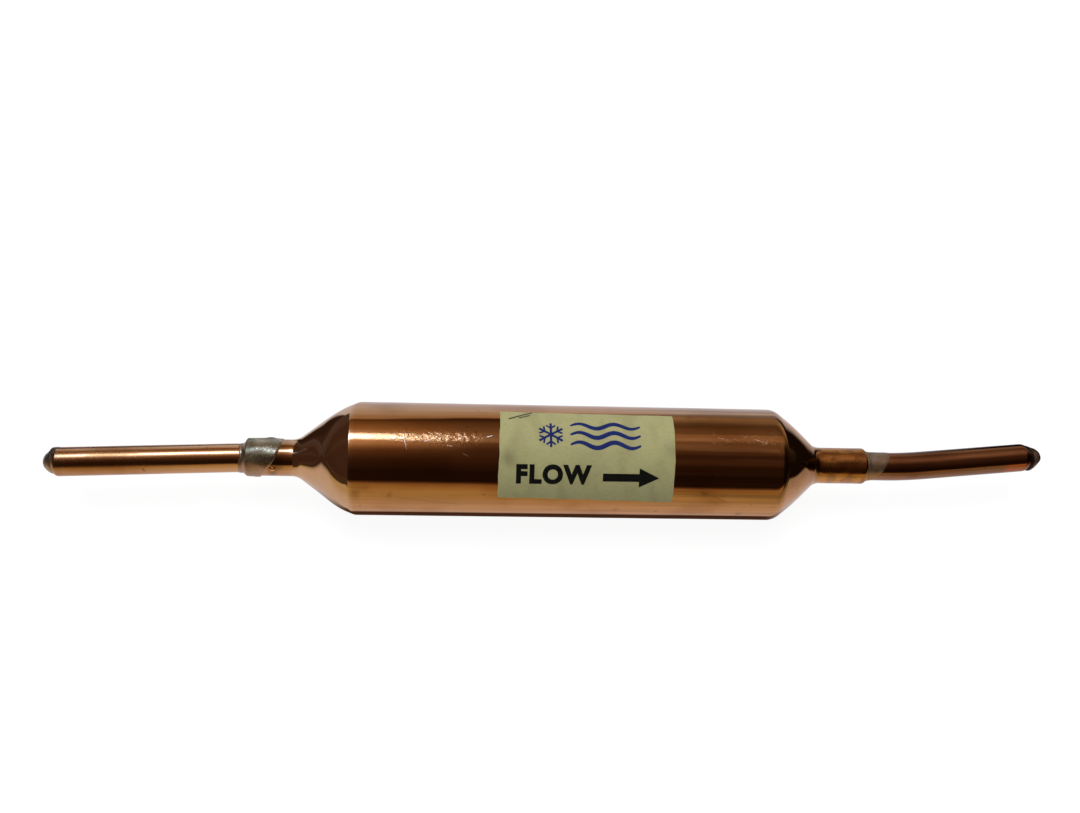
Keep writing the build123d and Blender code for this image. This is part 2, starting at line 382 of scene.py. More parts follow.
class Graph:
    """The nodes of one material or world, with short ways to add the usual ones."""

    def __init__(self, owner: bpy.types.Material | bpy.types.World) -> None:
        """Starts with no nodes.

        Args:
            owner: Material or world that the nodes belong to.
        """
        owner.use_nodes = True
        self.tree = owner.node_tree
        self.tree.nodes.clear()

    @cached_property
    def place(self) -> Socket:
        """The object's own coordinates, in metres."""
        return self.add("ShaderNodeTexCoord").outputs["Object"]

    def add(self, kind: str, inputs: dict | None = None, **settings) -> bpy.types.Node:
        """Adds a node.

        Args:
            kind: Blender's type name.
            inputs: Values, colours or sockets for its inputs, by name or number.
            **settings: Properties of the node.

        Returns:
            The node.
        """
        node = self.tree.nodes.new(kind)
        for key, value in settings.items():
            setattr(node, key, value)
        for key, value in (inputs or {}).items():
            if isinstance(value, Socket):
                self.tree.links.new(value, node.inputs[key])
            elif node.inputs[key].type == "RGBA":
                node.inputs[key].default_value = (*value, 1.0)
            else:
                node.inputs[key].default_value = value
        return node

    def noise(self, scale: float, along: float = 1.0, detail: float = 4.0) -> Socket:
        """Noise over the object's own coordinates.

        Args:
            scale: Cells to the metre.
            along: Factor on the scale along X; a small one draws the pattern out.
            detail: Octaves.

        Returns:
            The noise value, about 0.5 on average.
        """
        mapping = self.add("ShaderNodeMapping", {"Vector": self.place, "Scale": (along, 1.0, 1.0)})
        inputs = {"Vector": mapping.outputs[0], "Scale": scale, "Detail": detail}
        return self.add("ShaderNodeTexNoise", inputs).outputs["Fac"]

    def spread(
        self, value: Socket, low: float, high: float, to_low: float = 0.0, to_high: float = 1.0
    ) -> Socket:
        """Spreads low..high over to_low..to_high, clipped and with level ends."""
        inputs = {"Value": value, "From Min": low, "From Max": high, "To Min": to_low, "To Max": to_high}
        return self.add("ShaderNodeMapRange", inputs, interpolation_type="SMOOTHSTEP").outputs[0]

    def math(self, operation: str, first: Socket | float, second: Socket | float = 0.0) -> Socket:
        """One operation on one or two values."""
        return self.add("ShaderNodeMath", {0: first, 1: second}, operation=operation).outputs[0]

    def times(self, first: Socket | float, *others: Socket | float) -> Socket:
        """The product of the values."""
        for other in others:
            first = self.math("MULTIPLY", first, other)
        return first

    def plus(self, first: Socket | float, *others: Socket | float) -> Socket:
        """The sum of the values."""
        for other in others:
            first = self.math("ADD", first, other)
        return first

    def mix(
        self, share: Socket | float, first: Socket | Colour, second: Socket | Colour, kind: str = "MIX"
    ) -> Socket:
        """Blends two colours: share 0 gives the first, and 1 the second or, for ADD, their sum."""
        inputs = {0: share, 6: first, 7: second}
        return self.add("ShaderNodeMix", inputs, data_type="RGBA", blend_type=kind).outputs[2]

    def parts(self, place: Socket) -> tuple[Socket, Socket, Socket]:
        """The x, y and z of a place or direction."""
        return tuple(self.add("ShaderNodeSeparateXYZ", {0: place}).outputs)

    def ray(self, *kinds: str) -> Socket:
        """1 for rays of any of these kinds, and 0 for the others."""
        path = self.add("ShaderNodeLightPath").outputs
        return self.plus(*(path[f"Is {kind} Ray"] for kind in kinds))

    def mask(self, name: str) -> Socket:
        """A value kept on the vertices."""
        return self.add("ShaderNodeAttribute", attribute_name=name).outputs["Fac"]

    def unrolled(self) -> tuple[Socket, Socket]:
        """Place along the axis and round it, both in mm: arc = 12.5 * atan2(z - 12.5, -y)."""
        x, y, z = self.parts(self.place)
        turn = self.math("ARCTAN2", self.math("SUBTRACT", z, AXIS_HEIGHT * MM), self.times(y, -1.0))
        return self.times(x, 1.0 / MM), self.times(turn, BARREL_RADIUS)

    def scratches(self, lines: Sequence[Scratch]) -> Socket | float:
        """Thin straight marks: 1 on each line, fading out over its width and its last stretch.

        The distance to a line is |across|, where along and across are the unrolled place turned
        into the line's own direction.

        Args:
            lines: The marks.

        Returns:
            The strongest mark at each place.
        """
        if not lines:
            return 0.0
        x, arc = self.unrolled()
        most: Socket | float = 0.0
        for line in lines:
            start = (line.x, radians(line.angle) * BARREL_RADIUS)
            way = np.array([line.to_x - line.x, radians(line.to_angle - line.angle) * BARREL_RADIUS])
            length = float(np.linalg.norm(way))
            way_x, way_arc = (way / length).tolist()
            dx, darc = self.math("SUBTRACT", x, start[0]), self.math("SUBTRACT", arc, start[1])
            along = self.plus(self.times(dx, way_x), self.times(darc, way_arc))
            across = self.math("SUBTRACT", self.times(dx, way_arc), self.times(darc, way_x))
            thin = self.spread(self.math("ABSOLUTE", across), line.width, 0.0)
            middle = self.math("ABSOLUTE", self.math("SUBTRACT", along, length / 2))
            inside = self.spread(middle, length / 2, length / 2 * 0.7)
            most = self.math("MAXIMUM", most, self.times(thin, inside, line.strength))
        return most

    def bump(self, height: Socket, distance: float, below: Socket | None = None) -> Socket:
        """Tips the surface by a height that spans the given distance in metres."""
        inputs = {"Height": height, "Distance": distance, "Strength": 1.0}
        if below is not None:
            inputs["Normal"] = below
        return self.add("ShaderNodeBump", inputs).outputs[0]

    def surface(self, inputs: dict) -> None:
        """Adds a Principled surface with these values or sockets, and the output."""
        surface = self.add("ShaderNodeBsdfPrincipled", inputs)
        self.add("ShaderNodeOutputMaterial", {"Surface": surface.outputs[0]})


@dataclass(frozen=True)
class CopperFinish:
    """Polished copper with drawn streaks, light tarnish, fine pitting and painted glints.

    Masks on the vertices place the scorched, stained, baked, pale, drawn and pitted patches. The pit mask
    also places painted glints, and the scorch mask also places the painted shade round the copper drop's
    foot.
    """

    name: str
    slot: str
    bright: Colour
    tarnished: Colour
    tarnish: float = 0.5
    roughness: float = 0.12
    streak_depth: float = 6e-7
    grain_depth: float = 4e-7
    dent_depth: float = 2.6e-5
    # Colour of scorched copper; on the drop it is the painted shade round its foot.
    scorch_and_shade: Colour = (0.06, 0.045, 0.03)
    pale: Colour = (0.66, 0.40, 0.22)
    stain: Colour = (0.20, 0.085, 0.028)
    baked: Colour = (0.66, 0.27, 0.060)
    burnt: Colour = (0.34, 0.13, 0.036)
    speck: Colour = (0.10, 0.05, 0.02)
    # Painted highlight: colour of the bright specks laid into the base colour where the pits catch the lamp.
    glint: Colour = (0.96, 0.66, 0.40)
    bright_mark: Colour = (0.95, 0.80, 0.60)
    dark_mark: Colour = (0.13, 0.06, 0.02)
    bright_marks: tuple[Scratch, ...] = ()
    dark_marks: tuple[Scratch, ...] = ()

    def material(self) -> bpy.types.Material:
        """Works out the nodes.

        Returns:
            The material.
        """
        material = bpy.data.materials.new(self.name)
        g = Graph(material)
        blotches = g.noise(95.0, 0.6, 5.0)
        streaks = g.noise(1500.0, 0.03, 3.0)
        dents = g.noise(1700.0, 0.6, 3.0)
        marks = g.scratches(self.bright_marks)
        # Painted glints: bright specks in the base colour where the pit mask is high, standing in for the
        # lamp's highlight on the pits.
        glints = g.times(g.spread(dents, 0.57, 0.66, 0.0, 0.65), g.mask("pits_and_glints"))
        colour = g.mix(glints, self.colour(g, blotches, streaks), self.glint)
        rough = g.plus(
            g.spread(blotches, 0.3, 0.8, self.roughness * 0.7, self.roughness * 1.5),
            g.times(g.mask("scorch_and_shade"), 0.18),
            g.times(g.mask("pits_and_glints"), 0.05),
            g.times(g.mask("baked"), 0.26),
            g.times(marks, 0.35),
        )
        normal = g.bump(streaks, self.streak_depth)
        normal = g.bump(g.noise(5200.0, 0.4, 2.0), self.grain_depth, normal)
        raised = g.times(g.spread(dents, 0.42, 0.66), g.mask("pits_and_glints"))
        normal = g.bump(raised, self.dent_depth, normal)
        colour = g.mix(marks, colour, self.bright_mark)
        g.surface({"Base Color": colour, "Metallic": 1.0, "Roughness": rough, "Normal": normal})
        return material

    def colour(self, g: Graph, blotches: Socket, streaks: Socket) -> Socket:
        """Lays tarnish, lines, specks and the masked patches over the bright copper.

        Args:
            g: The material's nodes.
            blotches: Broad noise.
            streaks: Noise drawn out along the axis.

        Returns:
            The colour before the glints and bright scratches.
        """
        share = g.spread(blotches, 0.62 - 0.3 * self.tarnish, 0.86 - 0.3 * self.tarnish)
        colour = g.mix(share, self.bright, self.tarnished)
        colour = g.mix(g.spread(streaks, 0.35, 0.8, 0.0, 0.35), colour, self.tarnished)
        bands = g.noise(420.0, 0.04, 3.0)
        colour = g.mix(g.spread(bands, 0.52, 0.72, 0.0, 0.45), colour, self.tarnished)
        lines = g.spread(g.noise(620.0, 0.012), 0.44, 0.62, 0.0, 0.62)
        colour = g.mix(g.times(lines, g.mask("drawn")), colour, self.stain)
        specks = g.noise(900.0, 0.7, 2.0)
        colour = g.mix(g.spread(specks, 0.70, 0.76, 0.0, 0.5), colour, self.speck)
        heat = g.mix(g.spread(g.noise(560.0, 0.8, 3.0), 0.42, 0.60), self.baked, self.burnt)
        patches = (("pale", self.pale), ("baked", heat), ("stain", self.stain), ("scorch_and_shade", self.scorch_and_shade))
        for mask, tone in patches:
            colour = g.mix(g.mask(mask), colour, tone)
        return g.mix(g.scratches(self.dark_marks), colour, self.dark_mark)


@dataclass(frozen=True)
class SolderFinish:
    """Dull grey solder with bright and dark mottles, and warm patches where a mask says so: in part warm
    tone, in part painted reflections.
    """

    name: str
    slot: str
    pale: Colour
    dark: Colour
    # Colour of the warm patches; on the seals and on the low side of the inlet joint it is a painted
    # reflection.
    warm_and_reflected: Colour
    metallic: float = 0.85
    roughness: float = 0.34
    bump: float = 9e-6

    def material(self) -> bpy.types.Material:
        """Works out the nodes.

        Returns:
            The material.
        """
        material = bpy.data.materials.new(self.name)
        g = Graph(material)
        mottle = g.noise(330.0, 0.8)
        grain = g.noise(2600.0, detail=3.0)
        colour = g.mix(g.spread(mottle, 0.34, 0.70), self.dark, self.pale)
        colour = g.mix(g.spread(grain, 0.60, 0.78, 0.0, 0.35), colour, self.dark)
        # Warm patches: warm tone, and on the seals and the inlet joint's low side a painted reflection.
        colour = g.mix(g.mask("warmth_and_reflection"), colour, self.warm_and_reflected)
        rough = g.spread(grain, 0.3, 0.7, self.roughness * 0.75, self.roughness * 1.35)
        normal = g.bump(grain, self.bump * 0.25, g.bump(mottle, self.bump))
        g.surface({"Base Color": colour, "Metallic": self.metallic, "Roughness": rough, "Normal": normal})
        return material


@dataclass(frozen=True)
class PaperFinish:
    """Aged matt paper, with stains, fine fibres, worn marks and near-black tear lines that carry painted
    shade.
    """

    name: str
    slot: str
    paper: Colour
    stain: Colour
    worn: Colour

    def material(self) -> bpy.types.Material:
        """Works out the nodes.

        Returns:
            The material.
        """
        material = bpy.data.materials.new(self.name)
        g = Graph(material)
        stains = g.noise(160.0, detail=5.0)
        fibres = g.noise(2400.0, 0.5, 3.0)
        colour = g.mix(g.spread(stains, 0.45, 0.75, 0.0, 0.55), self.paper, self.stain)
        colour = g.mix(g.spread(fibres, 0.35, 0.75, 0.0, 0.18), colour, self.worn)
        colour = g.mix(g.mask("wear"), colour, self.worn)
        # Tear lines, near black: the torn paper and the painted shade along its edge.
        colour = g.mix(g.mask("tear_and_shade"), colour, tuple(0.06 * part for part in self.worn))
        normal = g.bump(fibres, 4e-6)
        g.surface({"Base Color": colour, "Roughness": 0.62, "Specular IOR Level": 0.35, "Normal": normal})
        return material


@dataclass(frozen=True)
class PlainFinish:
    """One colour with a little grain."""

    name: str
    slot: str
    colour: Colour
    metallic: float = 0.0
    roughness: float = 0.5
    grain: float = 1500.0
    shade: float = 0.25

    def material(self) -> bpy.types.Material:
        """Works out the nodes.

        Returns:
            The material.
        """
        material = bpy.data.materials.new(self.name)
        g = Graph(material)
        darker = tuple(part * 0.5 for part in self.colour)
        colour = g.mix(g.spread(g.noise(self.grain), 0.35, 0.7, 0.0, self.shade), self.colour, darker)
        inputs = {"Base Color": colour, "Metallic": self.metallic, "Roughness": self.roughness}
        g.surface(inputs | {"Specular IOR Level": 0.25})
        return material


Finish = CopperFinish | SolderFinish | PaperFinish | PlainFinish

SHELL_COPPER = CopperFinish(
    "shell copper",
    "copper_shell",
    bright=(0.54, 0.245, 0.088),
    tarnished=(0.40, 0.16, 0.05),
    roughness=0.055,
    bright_marks=(
        Scratch(-34.0, 89.0, -33.2, 73.5, 0.10, 0.9),
        Scratch(-24.9, 79.0, -23.5, 78.0, 0.16, 0.8),
        Scratch(-21.5, 71.5, -20.0, 68.0, 0.14, 0.8),
        Scratch(-58.6, 75.0, -54.6, 84.0, 0.9, 0.75),
        Scratch(-29.6, 82.5, -28.4, 84.5, 0.10, 0.7),
        Scratch(-16.5, 88.0, -15.0, 90.0, 0.12, 0.7),
        Scratch(41.5, 91.0, 44.5, 86.0, 0.20, 0.6),
        Scratch(33.5, 92.0, 35.2, 90.0, 0.14, 0.6),
    ),
    dark_marks=(
        Scratch(-36.5, 24.5, -20.5, 14.0, 0.10, 0.6),
        Scratch(32.7, 31.5, 36.3, 22.5, 0.13, 0.8),
        Scratch(34.0, 30.0, 36.0, 31.5, 0.10, 0.6),
        Scratch(30.0, 36.0, 31.4, 33.0, 0.20, 0.7),
        Scratch(-12.0, 8.0, 20.0, 6.0, 0.08, 0.35),
    ),
)
TUBE_COPPER = CopperFinish(
    "tube copper",
    "copper_tube",
    bright=(0.60, 0.30, 0.13),
    tarnished=(0.42, 0.18, 0.06),
    tarnish=0.35,
    roughness=0.19,
)
DARK_COPPER = CopperFinish(
    "dark tube copper",
    "dark_copper_tube",
    bright=(0.36, 0.155, 0.072),
    tarnished=(0.22, 0.085, 0.036),
    tarnish=0.6,
    roughness=0.13,
    stain=(0.60, 0.16, 0.045),
)
# The drop's scorch colour is the painted shade of the dark ring round its foot.
DROP_COPPER = CopperFinish(
    "drop copper",
    "copper_drop",
    bright=(0.90, 0.34, 0.10),
    tarnished=(0.66, 0.25, 0.08),
    tarnish=0.1,
    roughness=0.30,
    scorch_and_shade=(0.05, 0.022, 0.010),
)
JOINT_SOLDER = SolderFinish(
    "joint solder",
    "solder",
    pale=(0.43, 0.345, 0.205),
    dark=(0.165, 0.135, 0.075),
    warm_and_reflected=(0.42, 0.23, 0.135),
    metallic=0.9,
)
FILM_SOLDER = SolderFinish(
    "film solder",
    "solder",
    pale=(0.38, 0.27, 0.18),
    dark=(0.26, 0.175, 0.11),
    warm_and_reflected=(0.46, 0.22, 0.08),
    roughness=0.42,
    bump=5e-7,
)
INLET_SEAL_SOLDER = SolderFinish(
    "inlet seal solder",
    "seal_solder",
    pale=(0.21, 0.18, 0.12),
    dark=(0.09, 0.07, 0.035),
    warm_and_reflected=(0.50, 0.28, 0.14),
    bump=3e-6,
)
OUTLET_SEAL_SOLDER = SolderFinish(
    "outlet seal solder",
    "seal_solder",
    pale=(0.085, 0.055, 0.028),
    dark=(0.035, 0.022, 0.011),
    warm_and_reflected=(0.42, 0.24, 0.16),
    bump=3e-6,
)
LABEL_PAPER = PaperFinish(
    "label paper",
    "label_paper",
    paper=(0.41, 0.385, 0.185),
    stain=(0.32, 0.295, 0.13),
    worn=(0.19, 0.17, 0.08),
)
BLUE_INK = PlainFinish("blue ink", "label_paper", (0.012, 0.022, 0.115), roughness=0.7, grain=900.0)
BLACK_INK = PlainFinish("black ink", "label_paper", (0.004, 0.004, 0.003), roughness=0.8, grain=900.0)
RING_STEEL = PlainFinish("pressed steel", "strainer_steel", (0.45, 0.45, 0.44), 1.0, 0.35)
GAUZE_WIRE = PlainFinish("gauze wire", "gauze_wire", (0.42, 0.32, 0.12), 1.0, 0.4, 3000.0, 0.6)
BEADS = PlainFinish("beads", "desiccant_beads", (0.60, 0.50, 0.36), 0.0, 0.8, 700.0, 0.7)


def coat(mesh: bpy.types.Mesh, finish: Finish) -> None:
    """Gives a mesh one finish, whose material is made once and then shared."""
    mesh.materials.clear()
    mesh.materials.append(bpy.data.materials.get(finish.name) or finish.material())


def dress(piece: bpy.types.Object, finish: Finish, *nodes: str) -> None:
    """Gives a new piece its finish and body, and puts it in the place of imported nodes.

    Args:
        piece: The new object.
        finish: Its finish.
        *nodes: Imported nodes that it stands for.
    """
    coat(piece.data, finish)
    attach(piece, ROOT)
    if nodes:
        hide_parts(*nodes)




# ---------------------------------------------------------------- shell


@dataclass
class Shell:
    """The spun copper shell: neck, cone, barrel, cone and neck."""

    outside: tuple[tuple[float, float], ...] = (
        (-68.3, 3.5),
        (-68.1, 4.05),
        (-57.5, 4.05),
        (-48.4, 10.8),
        (-44.1, 12.5),
        (48.3, 12.5),
        (53.1, 8.8),
        (58.1, 4.05),
        (69.9, 4.05),
        (69.9, 3.2),
    )
    rounds: tuple[float, ...] = (0.15, 4.0, 29.0, 1.5, 3.9, 50.0, 3.5, 0.8)
    inside: tuple[tuple[float, float], ...] = (
        (69.9, 3.19),
        (58.1, 3.19),
        (48.3, 11.85),
        (-44.1, 11.85),
        (-57.5, 3.4),
        (-68.3, 3.4),
    )
    crease_x: float = -44.1
    crease_wander: float = -1.45
    crease_side: float = 62.0
    neck_drop: float = 0.19
    waviness: float = 0.010
    crease_stain: Spot = Spot(-43.3, 28.0, 1.8, 0.7)
    stains: tuple[Spot, ...] = (
        Spot(-42.1, 34.7, 0.7, 0.6),
        Spot(-36.9, 26.7, 0.6, 0.6),
        Spot(31.1, 33.3, 0.7, 0.7),
        Spot(39.5, 3.4, 0.6, 0.9),
        Spot(28.0, 118.0, 0.8, 0.5),
        Spot(12.0, 9.0, 0.6, 0.5),
    )
    columns: int = 160

    def drop(self, x: np.ndarray) -> np.ndarray:
        """How far the inlet neck sits towards the near side, in mm: eased in over its cone."""
        return self.neck_drop * (1.0 - smooth_step(x, -60.0, -45.0))

    def centre(self, x: np.ndarray) -> np.ndarray:
        """Centre of the shell at each x, with the inlet neck a little out of line."""
        return np.stack(np.broadcast_arrays(x, -self.drop(x), AXIS_HEIGHT), axis=-1)

    def wander(self, x: np.ndarray, turn: np.ndarray) -> np.ndarray:
        """How far the inlet crease strays along the axis, in mm.

        It strays towards the inlet over the upper near side, where cos(turn - 62) is over
        about 0.5, and hardly at all at the sides; the shift is eased in and out along x.
        """
        over = smooth_step(np.cos(turn - radians(self.crease_side)), -0.05, 0.55)
        amount = self.crease_wander * over + 0.3 * np.cos(turn - radians(155)) * (1.0 - over)
        eased_in = smooth_step(x, -53.5, self.crease_x - 1.2)
        return amount * eased_in * smooth_step(-x, 35.0, -self.crease_x - 0.3)

    def build(self) -> bpy.types.Object:
        """Turns the closed profile round its centre line.

        radius = profile + waviness * lumps, with finer lumps on the cones. The wave only touches
        the outside; x moves by the wander of the inlet crease.

        Returns:
            The skin.
        """
        outer = densified(rounded_line(self.outside, self.rounds), 0.8)
        inner = densified(np.asarray(self.inside), 6.0)
        profile = np.concatenate((outer, inner))
        turn = turns(self.columns)[None, :]
        x = profile[:, :1] + self.wander(profile[:, :1], turn)
        angle = turn + 0.0 * x
        cones = smooth_step(-x, 45.5, 47.5) * smooth_step(x, -60.0, -57.0) + 0.5 * smooth_step(x, 50.0, 52.0)
        wave = self.waviness * (lumps(x, angle, 5, 11.0) + 1.8 * cones * lumps(x, angle, 6, 5.0))
        wave[len(outer) :] = 0.0
        radius = profile[:, 1:] + wave
        masks = self.patches(x, angle)
        piece = loops_to_piece("copper_shell", around(self.centre(x), radius, turn), Close.JOINED, masks)
        dress(piece, SHELL_COPPER, "shell")
        return piece

    def patches(self, x: np.ndarray, angle: np.ndarray) -> Masks:
        """Where the copper is scorched, stained, pale, drawn, baked or pitted. The pitted strips follow the
        lamp's highlight and also carry painted glints.

        Args:
            x: Places along the axis, in mm.
            angle: Angles round it, in radians.

        Returns:
            Masks by name, each from 0 to 1.
        """
        rough = smooth_step(lumps(x, angle, 9, 3.0), -0.6, 0.8)
        scorch_and_shade = 0.55 * smooth_step(-x, 57.5, 62.0) * (0.15 + 0.85 * rough)
        stain = 0.12 * smooth_step(x, 50.0, 57.0) * rough
        stain = stain + self.crease_stain.over(x, angle) * rough
        for spot in self.stains:
            stain = stain + spot.over(x, angle)
        pale = 0.6 * smooth_step(-x, 44.2, 46.0) * smooth_step(x, -62.0, -56.0)
        drawn = 0.25 + 0.75 * smooth_step(x, 8.0, 30.0) * smooth_step(-x, -48.6, -47.6)
        baked = 0.85 * smooth_step(x, 57.8, 59.6) * (0.55 + 0.45 * rough)
        # Two strips of pits along the lamp's highlight, which also carry the painted glints.
        left_strip = np.exp(-(((np.degrees(angle) - 88.0) / 6.5) ** 2))
        pits_and_glints = left_strip * (0.1 + 0.9 * smooth_step(x, -41.0, -33.0)) * smooth_step(-x, 12.0, 26.0)
        pits_and_glints = pits_and_glints * smooth_step(x, -46.0, -44.0)
        right_strip = np.exp(-(((np.degrees(angle) - 91.0) / 6.0) ** 2))
        pits_and_glints = pits_and_glints + 0.9 * right_strip * smooth_step(x, 25.0, 38.0)
        pits_and_glints = pits_and_glints * (x < 47.5) * (0.35 + 0.65 * smooth_step(lumps(x, angle, 13, 5.0), -0.5, 0.6))
        stain = np.clip(stain, 0.0, 1.0)
        return {"scorch_and_shade": scorch_and_shade, "stain": stain, "pale": pale, "pits_and_glints": pits_and_glints, "drawn": drawn, "baked": baked}


# ---------------------------------------------------------------- tubes and their sealed ends


@dataclass
class TubeEnd:
    """A copper tube that leaves a neck, bends once and ends in a rolled-in rim with a solder seal."""

    way: Way
    inner_x: float
    bend_x: float
    bend_y: float
    bend: float
    rim_x: float
    bend_radius: float
    roll_length: float = 1.3
    roll_depth: float = 0.6
    end_stain: float = 0.0
    outer: float = 3.175
    bore: float = 2.475
    columns: int = 96

    @property
    def straight(self) -> float:
        """Length before the middle of the bend."""
        return abs(self.bend_x - self.inner_x)

    @property
    def length(self) -> float:
        """Length from the inner end to the rim."""
        return self.straight + abs(self.rim_x - self.bend_x) / cos(radians(self.bend))

    def route(self, run: np.ndarray) -> tuple[np.ndarray, np.ndarray]:
        """Centre line and its direction at each distance from the inner end.

        The direction turns evenly through the bend; the centre line is the running sum of its
        cosine and sine, taken at close steps and read off by interpolation.

        Args:
            run: Distances from the inner end, in mm.

        Returns:
            Centre points, and directions in the XY plane in radians from +X or -X.
        """
        steps = np.linspace(-0.5, self.length + 6.0, 4001)
        half = self.bend_radius * radians(self.bend) / 2
        heading = radians(self.bend) * np.clip((steps - self.straight + half) / (2 * half), 0.0, 1.0)
        gap = np.gradient(steps)
        x = np.cumsum(np.cos(heading) * gap)
        y = np.cumsum(np.sin(heading) * gap)
        x_at = np.interp(run, steps, x - np.interp(0.0, steps, x))
        y_at = np.interp(run, steps, y - np.interp(0.0, steps, y))
        sign = self.way.value
        centre = np.stack(
            np.broadcast_arrays(self.inner_x + sign * x_at, self.bend_y + sign * y_at, AXIS_HEIGHT), axis=-1
        )
        return centre, np.interp(run, steps, heading)

    def rolled(self, run: np.ndarray) -> np.ndarray:
        """How far the wall is rolled in at each distance: depth * t to the power 1.7 over the roll."""
        t = np.clip((run - self.length + self.roll_length) / self.roll_length, 0.0, 1.0)
        return self.roll_depth * t**1.7

    def surface(self, run: np.ndarray, radius: np.ndarray, turn: np.ndarray) -> np.ndarray:
        """Points round the tube's centre line."""
        centre, heading = self.route(run)
        return around(centre, radius, turn, heading)

    def build(self, name: str, finish: CopperFinish, node: str) -> bpy.types.Object:
        """Runs the wall out along the route and back inside it.

        Args:
            name: Name of the piece.
            finish: Its finish.
            node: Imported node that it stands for.

        Returns:
            The skin.
        """
        out = np.union1d(np.linspace(0.0, self.length, 90), np.linspace(self.length - 1.6, self.length, 14))
        run = np.concatenate((out, out[::-1]))[:, None]
        wall = np.concatenate((np.full(len(out), self.outer), np.full(len(out), self.bore)))[:, None]
        turn = turns(self.columns)[None, :]
        run_grid, angle = run + 0.0 * turn, turn + 0.0 * run
        ripple = 0.006 * lumps(run_grid, angle, 21 + self.way.value, 9.0)
        scorch_and_shade = 0.35 * smooth_step(run_grid, self.length - 3.0, self.length)
        scorch_and_shade = scorch_and_shade * smooth_step(lumps(run_grid, angle, 31, 2.0), -0.8, 0.9)
        stain = self.end_stain * smooth_step(run_grid, self.length - 7.0, self.length - 5.5)
        stain = stain * smooth_step(np.cos(turn - radians(18)), 0.82, 0.95)
        grid = self.surface(run_grid, wall - self.rolled(run) + ripple, turn)
        piece = loops_to_piece(name, grid, Close.JOINED, {"scorch_and_shade": scorch_and_shade, "stain": stain})
        dress(piece, finish, node)
        return piece


@dataclass(frozen=True)
class Facet:
    """A flat on a solder dome: which way it faces, and how far it lies from the rim's middle in mm."""

    along: float
    side: float
    up: float
    distance: float

    def cut(self, grid: np.ndarray, tube: TubeEnd) -> np.ndarray:
        """Moves points that lie beyond the flat's plane back to it, along the plane's own direction.

        Args:
            grid: Points with a last axis of x, y, z.
            tube: Tube whose rim the dome sits on.

        Returns:
            The points after the cut.
        """
        base, lean = tube.route(np.array([tube.length]))
        along = np.array([tube.way.value * cos(lean[0]), tube.way.value * sin(lean[0]), 0.0])
        side = np.array([-sin(lean[0]), cos(lean[0]), 0.0])
        normal = self.along * along + self.side * side + self.up * np.array([0.0, 0.0, 1.0])
        normal = normal / np.linalg.norm(normal)
        beyond = (grid - base[0]) @ normal - self.distance
        return grid - np.maximum(beyond, 0.0)[..., None] * normal


